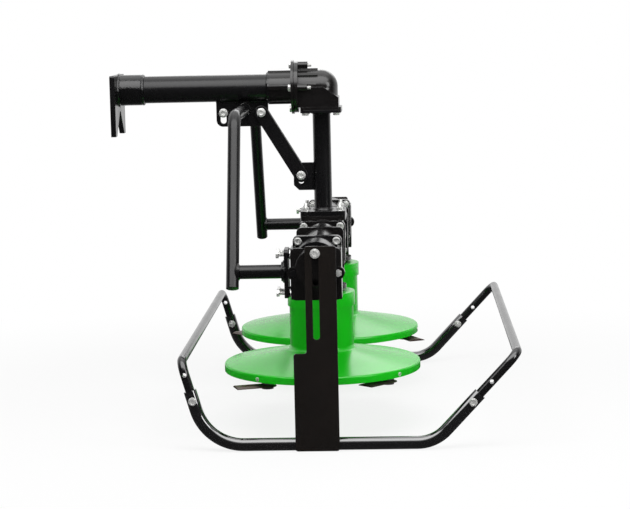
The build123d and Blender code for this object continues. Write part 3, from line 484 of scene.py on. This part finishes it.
def bolt_head(sizes, washer_radius):
    """A hexagon head with its dished top and sloped flange, standing on the origin along +Z."""
    seat = sizes.flange / 2  # the head starts inside its flange
    flange = disc(washer_radius, sizes.flange, 0.0, sides=32, bevel=0.75 * sizes.flange)
    head = hexagon(sizes.flats, sizes.head, seat)
    dish = disc(0.36 * sizes.flats, sizes.head, seat + 0.75 * sizes.head, sides=24, bevel=0.2 * sizes.head)
    cut(head, dish, "DIFFERENCE")
    return join([flange, head])


def nut(sizes, washer_radius, end):
    """A nut on its washer with the bolt's end through it, standing on the origin along +Z."""
    thick = sizes.washer_thick
    washer = disc(washer_radius, thick, 0.0, sides=32, bevel=0.2 * thick)
    body = hexagon(sizes.flats, sizes.nut, thick)
    return join([washer, body, thread(sizes, end, thick + sizes.nut)])


def jack_screw(sizes):
    """A bolt whose head stands off on its thread, along +Z from the origin."""
    shank = thread(sizes, sizes.screw_reach, 0.0)
    return join([shank, hexagon(sizes.flats, sizes.head, sizes.screw_reach)])


def round_screw(sizes):
    """A pan-headed screw with its cross recess, along +Z from the origin."""
    height = sizes.rim_head
    head = disc(sizes.rim_screw, height, 0.0, sides=24, bevel=0.45 * height)
    blade = 0.28 * sizes.rim_screw
    span = 5 * blade
    for size in ((span, blade, height), (blade, span, height)):
        deselect()
        bpy.ops.mesh.primitive_cube_add(size=1, location=(0, 0, 1.15 * height), scale=size)
        cut(head, bpy.context.object, "DIFFERENCE")
    return head


def placed(master, name, place, outward, turn=0.0):
    """A copy of a master with its own mesh, its +Z pointing outward from a place."""
    copy = bpy.data.objects.new(name, master.data.copy())
    bpy.context.scene.collection.objects.link(copy)
    aim = UP.rotation_difference(Vector(outward)).to_matrix().to_4x4()
    copy.matrix_world = Matrix.Translation(Vector(place)) @ aim @ Matrix.Rotation(turn, 4, "Z")
    return copy


def scatter(master, name, spots, body, material):
    """Copy a master to each (place, outward direction), each turned its own way, as one piece on a body."""
    step, sixth = 17, 60  # degrees from one copy's turn to the next, and between a hexagon's corners
    copies = [placed(master, f"{name}_{number}", place, outward, math.radians(step * number % sixth))
              for number, (place, outward) in enumerate(spots)]
    bpy.data.objects.remove(master)
    return own(join(copies), name, body, material)


def own(piece, name, body, material, smooth=35):
    """Name a finished piece, put its place in its mesh, paint it, shade it by angle and hang it on its body."""
    take(piece)
    bpy.ops.object.transform_apply(location=True, rotation=True, scale=True)
    piece.name = name
    piece.data.name = name
    piece.data.materials.clear()
    piece.data.materials.append(material_named(material))
    bpy.ops.object.shade_smooth_by_angle(angle=math.radians(smooth))
    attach(piece, body)
    return piece


def material_named(name):
    """A material that the finishes operator has made."""
    found = bpy.data.materials.get(name)
    if found is None:
        raise RuntimeError(f"run mower.finishes first: there is no material named {name}")
    return found


def corners(across, up):
    """The four corners of a bolt rectangle about its middle."""
    return [(i * across / 2, j * up / 2) for i in (-1, 1) for j in (-1, 1)]


def zinc(master, name, spots, body="frame"):
    """Scatter a plated fastener."""
    return scatter(master, name, spots, body, "zinc_plated_steel")


class MOWER_OT_finishes(bpy.types.Operator):
    """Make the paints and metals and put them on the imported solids."""
    bl_idname = "mower.finishes"
    bl_label = "Paint the solids"

    def execute(self, context):
        tint = context.scene.mower_colours
        enamels = [
            # name, colour, drift, orange peel in mm, roughness from, to, specular, clear coat
            ("satin_black_enamel", tint.black, tint.black_drift, 11, 0.22, 0.3, 0.35, 0.0),
            ("gloss_black_enamel", tint.black, tint.black_drift, 14, 0.15, 0.21, 0.7, 0.0),
            ("lacquered_black_enamel", tint.black, tint.black_drift, 14, 0.09, 0.14, 1.0, 1.0),
            ("brown_black_enamel", tint.plate, tint.plate_drift, 11, 0.2, 0.28, 0.5, 0.0),
            ("gloss_green_enamel", tint.green, tint.green_drift, 14, 0.2, 0.26, 0.45, 0.0),
        ]
        castings = [
            # name, colour, grain in mm, relief, roughness from, to
            ("black_painted_casting", tint.casting, 3.0, 0.13, 0.16, 0.26),
            ("painted_weld", tint.black, 1.6, 0.5, 0.16, 0.3),
            ("rough_painted_socket", tint.black, 3.5, 1.0, 0.1, 0.2),
            ("moulded_black_plastic", tint.plastic, 1.2, 0.12, 0.3, 0.45),
        ]
        metals = [
            # name, colour, drift, grain in mm, roughness from, to, metallic
            ("turned_steel", tint.steel, [0.8 * v for v in tint.steel], 3, 0.25, 0.4, 1.0),
            ("zinc_plated_steel", tint.zinc, tint.zinc_drift, 5, 0.22, 0.36, 0.55),
        ]
        for make, rows in ((sprayed_enamel, enamels), (painted_casting, castings), (bare_metal, metals)):
            for row in rows:
                make(*row)
        hardened_knife("hardened_knife_steel", tint.knife, tint.ground)
        for part in frame["record"]["subparts"]:
            paint = OWN_PAINT.get(part["node"], SLOT_PAINT[part["material_slot"]])
            node = frame["nodes"][part["node"]]
            node.data.materials.clear()
            node.data.materials.append(material_named(paint))
        return {"FINISHED"}


class MOWER_OT_edges(bpy.types.Operator):
    """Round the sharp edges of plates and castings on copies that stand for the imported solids."""
    bl_idname = "mower.edges"
    bl_label = "Softened edges"

    def execute(self, context):
        trim = context.scene.mower_trim
        rounding = {
            "coupling_hook_plate": trim.plate_round,
            "coupling_socket": trim.plate_round,
            "drive_flange": trim.plate_round,
            "upper_gear_case": trim.cast_round,
            "column": trim.plate_round,
            "column_lug": trim.plate_round,
            "brace_bracket": trim.plate_round,
            "centre_gear_case": trim.cast_round,
        }
        pairs = {
            "brace_bar": trim.plate_round,
            "brace_foot": trim.plate_round,
            "brace_stub": trim.plate_round,
            "disc_gear_case": trim.cast_round,
            "outrigger": trim.cast_round,
            "end_bracket": trim.cast_round,
            "side_plate": trim.plate_round,
            "skid": trim.plate_round,
        }
        for pair, width in pairs.items():
            for side in SIDES:
                rounding[f"{pair}_{side}"] = width
        bodies = frame["record"]["behaviour"]["bodies"]
        home = {node: body for body, nodes in bodies.items() for node in nodes}
        for node, width in rounding.items():
            copy = softened(node, width)
            paint = copy.data.materials[0].name
            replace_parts(own(copy, f"{node}_edged", home[node], paint, 25), node)
        return {"FINISHED"}


def merged_copy(node):
    """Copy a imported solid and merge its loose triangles; the copy stays in edit mode, all selected."""
    copy = bpy.data.objects.new(node, frame["nodes"][node].data.copy())
    bpy.context.scene.collection.objects.link(copy)
    take(copy)
    bpy.ops.object.mode_set(mode="EDIT")
    bpy.ops.mesh.select_all(action="SELECT")
    bpy.ops.mesh.remove_doubles(threshold=MERGE)
    return copy


def softened(node, width):
    """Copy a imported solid, make its faces whole and round its sharp edges."""
    copy = merged_copy(node)
    bpy.ops.mesh.dissolve_limited(angle_limit=math.radians(0.5))
    bpy.ops.object.mode_set(mode="OBJECT")
    apply_modifier(copy, "BEVEL", width=width, segments=2, limit_method="ANGLE", angle_limit=math.radians(40),
                   use_clamp_overlap=True)
    return copy


class MOWER_OT_dishes(bpy.types.Operator):
    """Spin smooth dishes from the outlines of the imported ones."""
    bl_idname = "mower.dishes"
    bl_label = "Dishes"

    def execute(self, context):
        for side in SIDES:
            node = f"rotor_dish_{side}"
            dish = spun_dish(node, knife_headings(side)[0], context.scene.mower_trim.dish_round)
            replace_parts(own(dish, f"{node}_spun", f"rotor_{side}", "gloss_green_enamel"), node)
        return {"FINISHED"}


def knife_headings(side):
    """Directions from a rotor's axis to its knives' pins, at rest."""
    centre = middle(f"rotor_dish_{side}")
    joints = frame["record"]["behaviour"]["joints"]
    pins = [joint["pos_m"] for joint in joints if joint["parent"] == f"rotor_{side}"]
    return [Vector((x - centre.x, y - centre.y, 0)).normalized() for x, y, _ in pins]


def select_corners(outline, limit):
    """Select the corners of a closed outline that turn by more than a limit."""
    beside = {vertex.index: [] for vertex in outline.vertices}
    for edge in outline.edges:
        first, second = edge.vertices
        beside[first].append(second)
        beside[second].append(first)
    for vertex in outline.vertices:
        one, other = (outline.vertices[index].co - vertex.co for index in beside[vertex.index])
        vertex.select = math.pi - one.angle(other) > limit


def spun_dish(node, knife, round_width):
    """Cut an imported dish halfway between its screws, round the outline's corners and spin it round its axis.
    """
    axis = middle(node)
    outward = Matrix.Rotation(math.pi / 4, 3, "Z") @ knife
    dish = merged_copy(node)
    bpy.ops.mesh.bisect(plane_co=axis, plane_no=UP.cross(outward), clear_inner=True, clear_outer=True)
    bpy.ops.mesh.select_all(action="SELECT")
    bpy.ops.mesh.bisect(plane_co=axis, plane_no=outward, clear_inner=True)
    bpy.ops.mesh.select_all(action="SELECT")
    bpy.ops.mesh.remove_doubles(threshold=MERGE)
    bpy.ops.mesh.edge_face_add()
    bpy.ops.mesh.dissolve_limited(angle_limit=math.radians(1))
    bpy.ops.object.mode_set(mode="OBJECT")
    select_corners(dish.data, limit=math.radians(25))
    bpy.ops.object.mode_set(mode="EDIT")
    bpy.ops.mesh.select_mode(type="VERT")
    bpy.ops.mesh.bevel(offset=round_width, segments=3, affect="VERTICES", clamp_overlap=True)
    bpy.ops.mesh.select_all(action="SELECT")
    bpy.ops.mesh.delete(type="ONLY_FACE")
    bpy.ops.mesh.select_all(action="SELECT")
    bpy.ops.mesh.spin(steps=128, angle=2 * math.pi, center=axis, axis=UP)
    bpy.ops.mesh.select_all(action="SELECT")
    bpy.ops.mesh.remove_doubles(threshold=MERGE)
    bpy.ops.mesh.normals_make_consistent(inside=False)
    bpy.ops.object.mode_set(mode="OBJECT")
    return dish


class MOWER_OT_beam_bolts(bpy.types.Operator):
    """Bolts and nuts of the beam's flanges, heads outwards."""
    bl_idname = "mower.beam_bolts"
    bl_label = "Beam bolts"

    def execute(self, context):
        holes, sizes = context.scene.mower_holes, context.scene.mower_fasteners
        heads, nuts = [], []
        for s in SIDES.values():
            for seam in (high("centre_gear_case").y, low("outrigger_left").y):
                for x, z in corners(holes.beam_spacing, holes.beam_spacing):
                    spot = Vector((COLUMN_X + x, s * seam, BEAM_Z + z))
                    outward = Vector((0, s, 0))
                    heads.append((spot + holes.beam_flange * outward, outward))
                    nuts.append((spot - holes.beam_flange * outward, -outward))
        zinc(bolt_head(sizes, sizes.washer), "beam_bolt_heads", heads)
        zinc(nut(sizes, sizes.washer, sizes.thread_end), "beam_bolt_nuts", nuts)
        return {"FINISHED"}


class MOWER_OT_column_bolts(bpy.types.Operator):
    """Bolts of the column's foot, whose threads stand up, and of its head."""
    bl_idname = "mower.column_bolts"
    bl_label = "Column bolts"

    def execute(self, context):
        holes, sizes = context.scene.mower_holes, context.scene.mower_fasteners
        foot, head = low("column").z, high("column").z
        nuts, heads = [], []
        for x, y in corners(holes.foot_spacing, holes.foot_spacing):
            nuts.append(((COLUMN_X + x, y, foot + holes.foot_flange), UP))
            heads.append(((COLUMN_X + x, y, foot - holes.foot_flange), DOWN))
        for x, y in corners(holes.head_spacing, holes.head_spacing):
            heads.append(((COLUMN_X + x, y, head - holes.head_flange), DOWN))
        zinc(nut(sizes, sizes.washer, sizes.long_end), "column_nuts", nuts)
        zinc(bolt_head(sizes, sizes.washer), "column_bolt_heads", heads)
        return {"FINISHED"}


class MOWER_OT_drive_bolts(bpy.types.Operator):
    """Bolts of the drive flange, whose ends show in the upper case's lugs."""
    bl_idname = "mower.drive_bolts"
    bl_label = "Drive flange bolts"

    def execute(self, context):
        holes, sizes = context.scene.mower_holes, context.scene.mower_fasteners
        rear = high("drive_flange").x - holes.drive_flange
        front = low("upper_gear_case").x + holes.drive_lug
        heads, ends = [], []
        for quarter in range(4):
            turn = quarter * math.pi / 2
            y, z = holes.drive_circle * math.cos(turn), DRIVE_Z + holes.drive_circle * math.sin(turn)
            heads.append(((rear, y, z), BACK))
            if z > DRIVE_Z - holes.drive_circle / 2:
                ends.append(((front, y, z), FRONT))
        zinc(bolt_head(sizes, sizes.washer), "drive_bolt_heads", heads)
        zinc(thread(sizes, 2 * sizes.thread_end, -1.5 * sizes.thread_end), "drive_bolt_ends", ends)
        return {"FINISHED"}


class MOWER_OT_bracing_bolts(bpy.types.Operator):
    """Bolts through the bracket, the bars and the column's lug."""
    bl_idname = "mower.bracing_bolts"
    bl_label = "Bracing bolts"

    def execute(self, context):
        holes, sizes = context.scene.mower_holes, context.scene.mower_fasteners
        bracket_z = high("brace_bracket").z - holes.bracket_drop
        bars = high("brace_bar_left").y
        bolts = [
            # forward, half the grip, up
            (low("brace_bracket").x + holes.bracket_inset, high("brace_bracket").y, bracket_z),
            (high("brace_bracket").x - holes.bracket_inset, bars, bracket_z),
            (low("column_lug").x + holes.lug_inset, bars, high("column_lug").z - holes.lug_drop),
        ]
        heads = [((x, -y, z), RIGHT) for x, y, z in bolts]
        nuts = [((x, y, z), LEFT) for x, y, z in bolts]
        zinc(bolt_head(sizes, sizes.wide_washer), "bracing_bolt_heads", heads)
        zinc(nut(sizes, sizes.wide_washer, sizes.thread_end), "bracing_nuts", nuts)
        return {"FINISHED"}


class MOWER_OT_foot_bolts(bpy.types.Operator):
    """Screws that stand off the brace feet, and the nuts behind the feet."""
    bl_idname = "mower.foot_bolts"
    bl_label = "Brace foot bolts"

    def execute(self, context):
        holes, sizes = context.scene.mower_holes, context.scene.mower_fasteners
        screws, spacers = [], []
        for side in SIDES:
            foot = f"brace_foot_{side}"
            for y, z in corners(holes.brace_across, holes.brace_up):
                spot = middle(foot) + Vector((0, y, z))
                screws.append(((low(foot).x, spot.y, spot.z), BACK))
                spacers.append(((high(foot).x, spot.y, spot.z), BACK))
        zinc(jack_screw(sizes), "foot_screws", screws)
        zinc(hexagon(sizes.spacer_flats, sizes.spacer, 0.0), "foot_nuts", spacers)
        return {"FINISHED"}


class MOWER_OT_end_bolts(bpy.types.Operator):
    """Height bolts in the side plates' slots and the bolts in the end brackets' ears."""
    bl_idname = "mower.end_bolts"
    bl_label = "End bolts"

    def execute(self, context):
        holes, sizes = context.scene.mower_holes, context.scene.mower_fasteners
        plate = "side_plate_left"
        slots, ears = [], []
        for s in SIDES.values():
            outward = Vector((0, s, 0))
            slots.append(((COLUMN_X, s * high(plate).y, high(plate).z - holes.slot_drop), outward))
            ear = (COLUMN_X + holes.ear_reach, s * (low(plate).y - holes.ear_gap), BEAM_Z - holes.ear_drop)
            ears.append((ear, outward))
        zinc(bolt_head(sizes, sizes.wide_washer), "height_bolt_heads", slots)
        zinc(hexagon(sizes.flats, sizes.head, 0.0), "front_ear_bolt_heads", ears)
        rear = [(Vector(place) - Vector((2 * holes.ear_reach, 0, 0)), outward) for place, outward in ears]
        head = hexagon(sizes.flats, sizes.head, 0.0)
        scatter(head, "rear_ear_bolt_heads", rear, "frame", "satin_black_enamel")
        return {"FINISHED"}


class MOWER_OT_guard_bolts(bpy.types.Operator):
    """Bolts that hold the hoops in the ends of the skids."""
    bl_idname = "mower.guard_bolts"
    bl_label = "Guard bolts"

    def execute(self, context):
        holes, sizes = context.scene.mower_holes, context.scene.mower_fasteners
        rear, front, skid = "guard_hoop_rear", "guard_hoop_front", "skid_left"
        bar = (high(rear).y - high(skid).y) + (high(skid).y - low(skid).y) / 2  # radius of a hoop
        arms = [
            # hoop's axis forward and up, run of an arm per rise, height of the skid's end
            (low(rear).x + bar, high(rear).z - bar, -1 / math.tan(holes.rear_arm), holes.rear_sleeve),
            (high(front).x - bar, high(front).z - bar, 1 / math.tan(holes.front_arm), holes.front_sleeve),
        ]
        heads, nuts = [], []
        for hoop_x, hoop_z, run, sleeve in arms:
            z = sleeve - holes.sleeve_drop / math.hypot(1, run)
            x = hoop_x - (hoop_z - z) * run
            for s in SIDES.values():
                heads.append(((x, s * high(skid).y, z), (0, s, 0)))
                nuts.append(((x, s * low(skid).y, z), (0, -s, 0)))
        zinc(bolt_head(sizes, sizes.washer), "guard_bolt_heads", heads)
        zinc(nut(sizes, sizes.washer, sizes.thread_end), "guard_bolt_nuts", nuts)
        return {"FINISHED"}


class MOWER_OT_rim_screws(bpy.types.Operator):
    """Screws in the dishes' rims, one in line with each knife's pin."""
    bl_idname = "mower.rim_screws"
    bl_label = "Rim screws"

    def execute(self, context):
        holes, sizes = context.scene.mower_holes, context.scene.mower_fasteners
        for side in SIDES:
            dish = f"rotor_dish_{side}"
            centre = middle(dish)
            radius = (high(dish).x - low(dish).x) / 2 - sizes.rim_head / 5
            foot = Vector((centre.x, centre.y, low(dish).z + holes.rim_height))
            spots = [(foot + radius * outward, outward) for outward in knife_headings(side)]
            zinc(round_screw(sizes), f"rim_screws_{side}", spots, f"rotor_{side}")
        return {"FINISHED"}


class MOWER_OT_welds(bpy.types.Operator):
    """Weld beads where tubes and plates meet."""
    bl_idname = "mower.welds"
    bl_label = "Weld beads"

    def execute(self, context):
        holes, trim = context.scene.mower_holes, context.scene.mower_trim
        socket = (high("coupling_socket").z - low("coupling_socket").z) / 2
        tube = (high("drive_tube").z - low("drive_tube").z) / 2 + trim.bead / 3
        rings = [
            # name, middle, axis, radius
            ("hook_weld", (low("coupling_socket").x, 0, DRIVE_Z), FRONT, socket),
            ("socket_weld", (high("coupling_socket").x, 0, DRIVE_Z), FRONT, tube),
            ("sleeve_weld", (low("drive_flange").x, 0, DRIVE_Z), FRONT, tube),
            ("column_foot_weld", (COLUMN_X, 0, low("column").z + holes.foot_flange), UP, trim.column),
            ("column_head_weld", (COLUMN_X, 0, high("column").z - holes.head_flange), UP, trim.column),
        ]
        leg_x = middle("brace_tube").x + trim.stub_tuck
        for side in SIDES:
            stub = f"brace_stub_{side}"
            ring = (high(stub).z - low(stub).z) / 2
            rings += [
                (f"foot_weld_{side}", (high(stub).x, middle(stub).y, middle(stub).z), FRONT, ring),
                (f"leg_weld_{side}", (leg_x, middle(stub).y, middle(stub).z), FRONT, 0.7 * ring),
            ]
        for name, place, axis, radius in rings:
            weld(bead_ring(radius, trim), name, place, axis)
        bracket, lug, plate, skid = "brace_bracket", "column_lug", "side_plate_left", "skid_left"
        half = (high(bracket).y - low(bracket).y) / 2
        groove = low(skid).z + 1.55 * (high(skid).y - low(skid).y) / 2
        runs = [
            # name, start on the left side, direction, length
            ("bracket_weld", (low(bracket).x, half, high(bracket).z), FRONT, high(bracket).x - low(bracket).x),
            ("lug_weld", (high(lug).x, half, low(lug).z), UP, high(lug).z - low(lug).z),
            ("skid_weld", (low(plate).x, low(plate).y - trim.bead / 2, groove), FRONT,
             high(plate).x - low(plate).x),
        ]
        for name, (x, y, z), direction, reach in runs:
            for side, s in SIDES.items():
                weld(bead_run(reach, trim), f"{name}_{side}", (x, s * y, z), direction)
        return {"FINISHED"}


def weld(bead, name, place, direction):
    """Lay a bead at its place and paint it."""
    own(placed(bead, name, place, direction), name, "frame", "painted_weld")
    bpy.data.objects.remove(bead)


class MOWER_OT_plugs(bpy.types.Operator):
    """Moulded plugs in the lower ends of the brace's legs."""
    bl_idname = "mower.plugs"
    bl_label = "End plugs"

    def execute(self, context):
        trim, brace = context.scene.mower_trim, "brace_tube"
        radius = (high(brace).x - low(brace).x) / 2
        for side, s in SIDES.items():
            stub = middle(f"brace_stub_{side}")
            foot = Vector((middle(brace).x, s * (high(brace).y - radius), low(brace).z + radius / 2))
            along = Vector((0, foot.y - stub.y, foot.z - stub.z)).normalized()
            master = disc(radius, trim.plug, 0.0, sides=32, bevel=0.4 * trim.plug)
            scatter(master, f"leg_plug_{side}", [(foot, along)], "frame", "moulded_black_plastic")
        return {"FINISHED"}


class MOWER_OT_stage(bpy.types.Operator):
    """Set up the pale floor, the white surround, the lamps and the camera."""
    bl_idname = "mower.stage"
    bl_label = "Studio"

    def execute(self, context):
        studio = context.scene.mower_studio
        deselect()
        bpy.ops.mesh.primitive_circle_add(vertices=64, radius=FLOOR_RADIUS, fill_type="NGON",
                                          location=(0, 0, 0))
        floor = context.object
        floor.name = "studio_floor"
        floor.data.materials.append(studio_floor(studio))
        surround(context.scene, studio)
        lamps = [
            # name, place, width, height, watts, whether it lights the paint, whether the gloss mirrors it
            ("key_box", (-0.2, -1.3, 2.5), 2.6, 1.3, 52, True, False),
            ("top_box", (0.1, 0.6, 3.3), 3.0, 2.0, 12, True, True),
            ("fill_box", (2.7, -2.0, 1.5), 1.0, 1.4, 34, True, True),
            ("rear_box", (0.6, 3.0, 2.2), 2.4, 1.4, 18, True, True),
            ("gloss_card", (0.0, -1.0, 1.75), 3.0, 1.5, 48, False, True),
        ]
        for name, place, width, height, watts, lights, mirrored in lamps:
            bpy.ops.object.light_add(type="AREA", location=place)
            lamp = context.object
            lamp.name = name
            lamp.data.shape = "RECTANGLE"
            lamp.data.size = width
            lamp.data.size_y = height
            lamp.data.energy = watts * studio.lamp
            lamp.visible_diffuse = lights
            lamp.visible_glossy = mirrored
            aim = Vector((0, 0, AIM_HEIGHT)) - Vector(place)
            lamp.rotation_euler = aim.to_track_quat("-Z", "Y").to_euler()
        bpy.ops.object.camera_add(location=studio.place)
        camera = context.object
        camera.data.sensor_width = SENSOR
        camera.data.lens = studio.focal
        level = Euler((math.pi / 2 - studio.pitch, 0, studio.turn)).to_matrix()
        camera.rotation_euler = (level @ Matrix.Rotation(-studio.roll, 3, "Z")).to_euler()
        context.scene.camera = camera
        context.scene.view_settings.view_transform = "Standard"
        return {"FINISHED"}


def seen(tree, path):
    """One for what the camera sees, also through glass, and nothing for other rays."""
    return calculate(tree, "ADD", path.outputs["Is Camera Ray"], path.outputs["Is Transmission Ray"],
                     clamp=True)


def studio_floor(studio):
    """Matt white paper: it keeps the shadow and is pure white further off; its reflection is dark in front."""
    material = bpy.data.materials.new("white_paper")
    tree = empty_tree(material)
    coords = add_node(tree, "ShaderNodeTexCoord").outputs["Object"]
    path = add_node(tree, "ShaderNodeLightPath")
    away = add_node(tree, "ShaderNodeVectorMath", {0: coords}, operation="LENGTH").outputs["Value"]
    share = ramp(tree, away, start=0.6, end=1.5, first=0.84, last=1.0)
    shown = calculate(tree, "MULTIPLY", seen(tree, path), share)
    paper = add_node(tree, "ShaderNodeBsdfDiffuse", {"Color": rgba(linear("#ececec"))}).outputs[0]
    glow = add_node(tree, "ShaderNodeEmission", {"Color": WHITE, "Strength": 1.0}).outputs[0]
    bright = add_node(tree, "ShaderNodeMixShader", {0: shown, 1: paper, 2: glow}).outputs[0]
    place = add_node(tree, "ShaderNodeSeparateXYZ", {"Vector": coords})
    back = ramp(tree, place.outputs["Y"], start=0.3, end=1.8, first=studio.room, last=studio.backdrop)
    mirrored = add_node(tree, "ShaderNodeEmission", {"Color": WHITE, "Strength": back}).outputs[0]
    both = add_node(tree, "ShaderNodeMixShader", {0: path.outputs["Is Glossy Ray"], 1: bright, 2: mirrored})
    add_node(tree, "ShaderNodeOutputMaterial", {"Surface": both.outputs[0]})
    return material


def surround(scene, studio):
    """White all round for the camera; reflections show a white backdrop, a pale ceiling and a dark room."""
    world = bpy.data.worlds.new("studio_surround")
    scene.world = world
    tree = empty_tree(world)
    path = add_node(tree, "ShaderNodeLightPath")
    view = add_node(tree, "ShaderNodeTexCoord").outputs["Generated"]
    heading = add_node(tree, "ShaderNodeSeparateXYZ", {"Vector": view})
    backdrop = ramp(tree, heading.outputs["Y"], start=0.0, end=0.6, first=studio.room, last=studio.backdrop)
    ceiling = ramp(tree, heading.outputs["Z"], start=0.4, end=0.8, first=0.0, last=studio.ceiling)
    mirrored = calculate(tree, "MAXIMUM", backdrop, ceiling)
    shown = mixed(tree, seen(tree, path), studio.sky, 1.0, "FLOAT")
    strength = mixed(tree, path.outputs["Is Glossy Ray"], shown, mirrored, "FLOAT")
    light = add_node(tree, "ShaderNodeBackground", {"Color": WHITE, "Strength": strength})
    add_node(tree, "ShaderNodeOutputWorld", {"Surface": light.outputs[0]})


OPERATORS = (
    MOWER_OT_stage, MOWER_OT_finishes, MOWER_OT_edges, MOWER_OT_dishes, MOWER_OT_beam_bolts,
    MOWER_OT_column_bolts, MOWER_OT_drive_bolts, MOWER_OT_bracing_bolts, MOWER_OT_foot_bolts,
    MOWER_OT_end_bolts, MOWER_OT_guard_bolts, MOWER_OT_rim_screws, MOWER_OT_welds, MOWER_OT_plugs,
)
GROUPS = {
    "mower_colours": MowerColours,
    "mower_holes": MowerHoles,
    "mower_fasteners": MowerFasteners,
    "mower_trim": MowerTrim,
    "mower_studio": MowerStudio,
}


class MOWER_PT_panel(bpy.types.Panel):
    """Lists the mower's pieces and their sizes."""
    bl_idname = "MOWER_PT_panel"
    bl_label = "Rotary mower"
    bl_space_type = "VIEW_3D"
    bl_region_type = "UI"
    bl_category = "Mower"

    def draw(self, context):
        for one in OPERATORS:
            self.layout.operator(one.bl_idname)
        for name, group in GROUPS.items():
            box = self.layout.box()
            for size in group.__annotations__:
                box.prop(getattr(context.scene, name), size)


CLASSES = (*GROUPS.values(), *OPERATORS, MOWER_PT_panel)


def register():
    for one in CLASSES:
        bpy.utils.register_class(one)
    for name, group in GROUPS.items():
        setattr(bpy.types.Scene, name, PointerProperty(type=group))


def unregister():
    for name in GROUPS:
        delattr(bpy.types.Scene, name)
    for one in reversed(CLASSES):
        bpy.utils.unregister_class(one)


def main():
    register()
    bpy.ops.mower.stage()
    bpy.ops.mower.finishes()
    bpy.ops.mower.edges()
    bpy.ops.mower.dishes()
    bpy.ops.mower.beam_bolts()
    bpy.ops.mower.column_bolts()
    bpy.ops.mower.drive_bolts()
    bpy.ops.mower.bracing_bolts()
    bpy.ops.mower.foot_bolts()
    bpy.ops.mower.end_bolts()
    bpy.ops.mower.guard_bolts()
    bpy.ops.mower.rim_screws()
    bpy.ops.mower.welds()
    bpy.ops.mower.plugs()


if __name__ == "__main__":
    main()
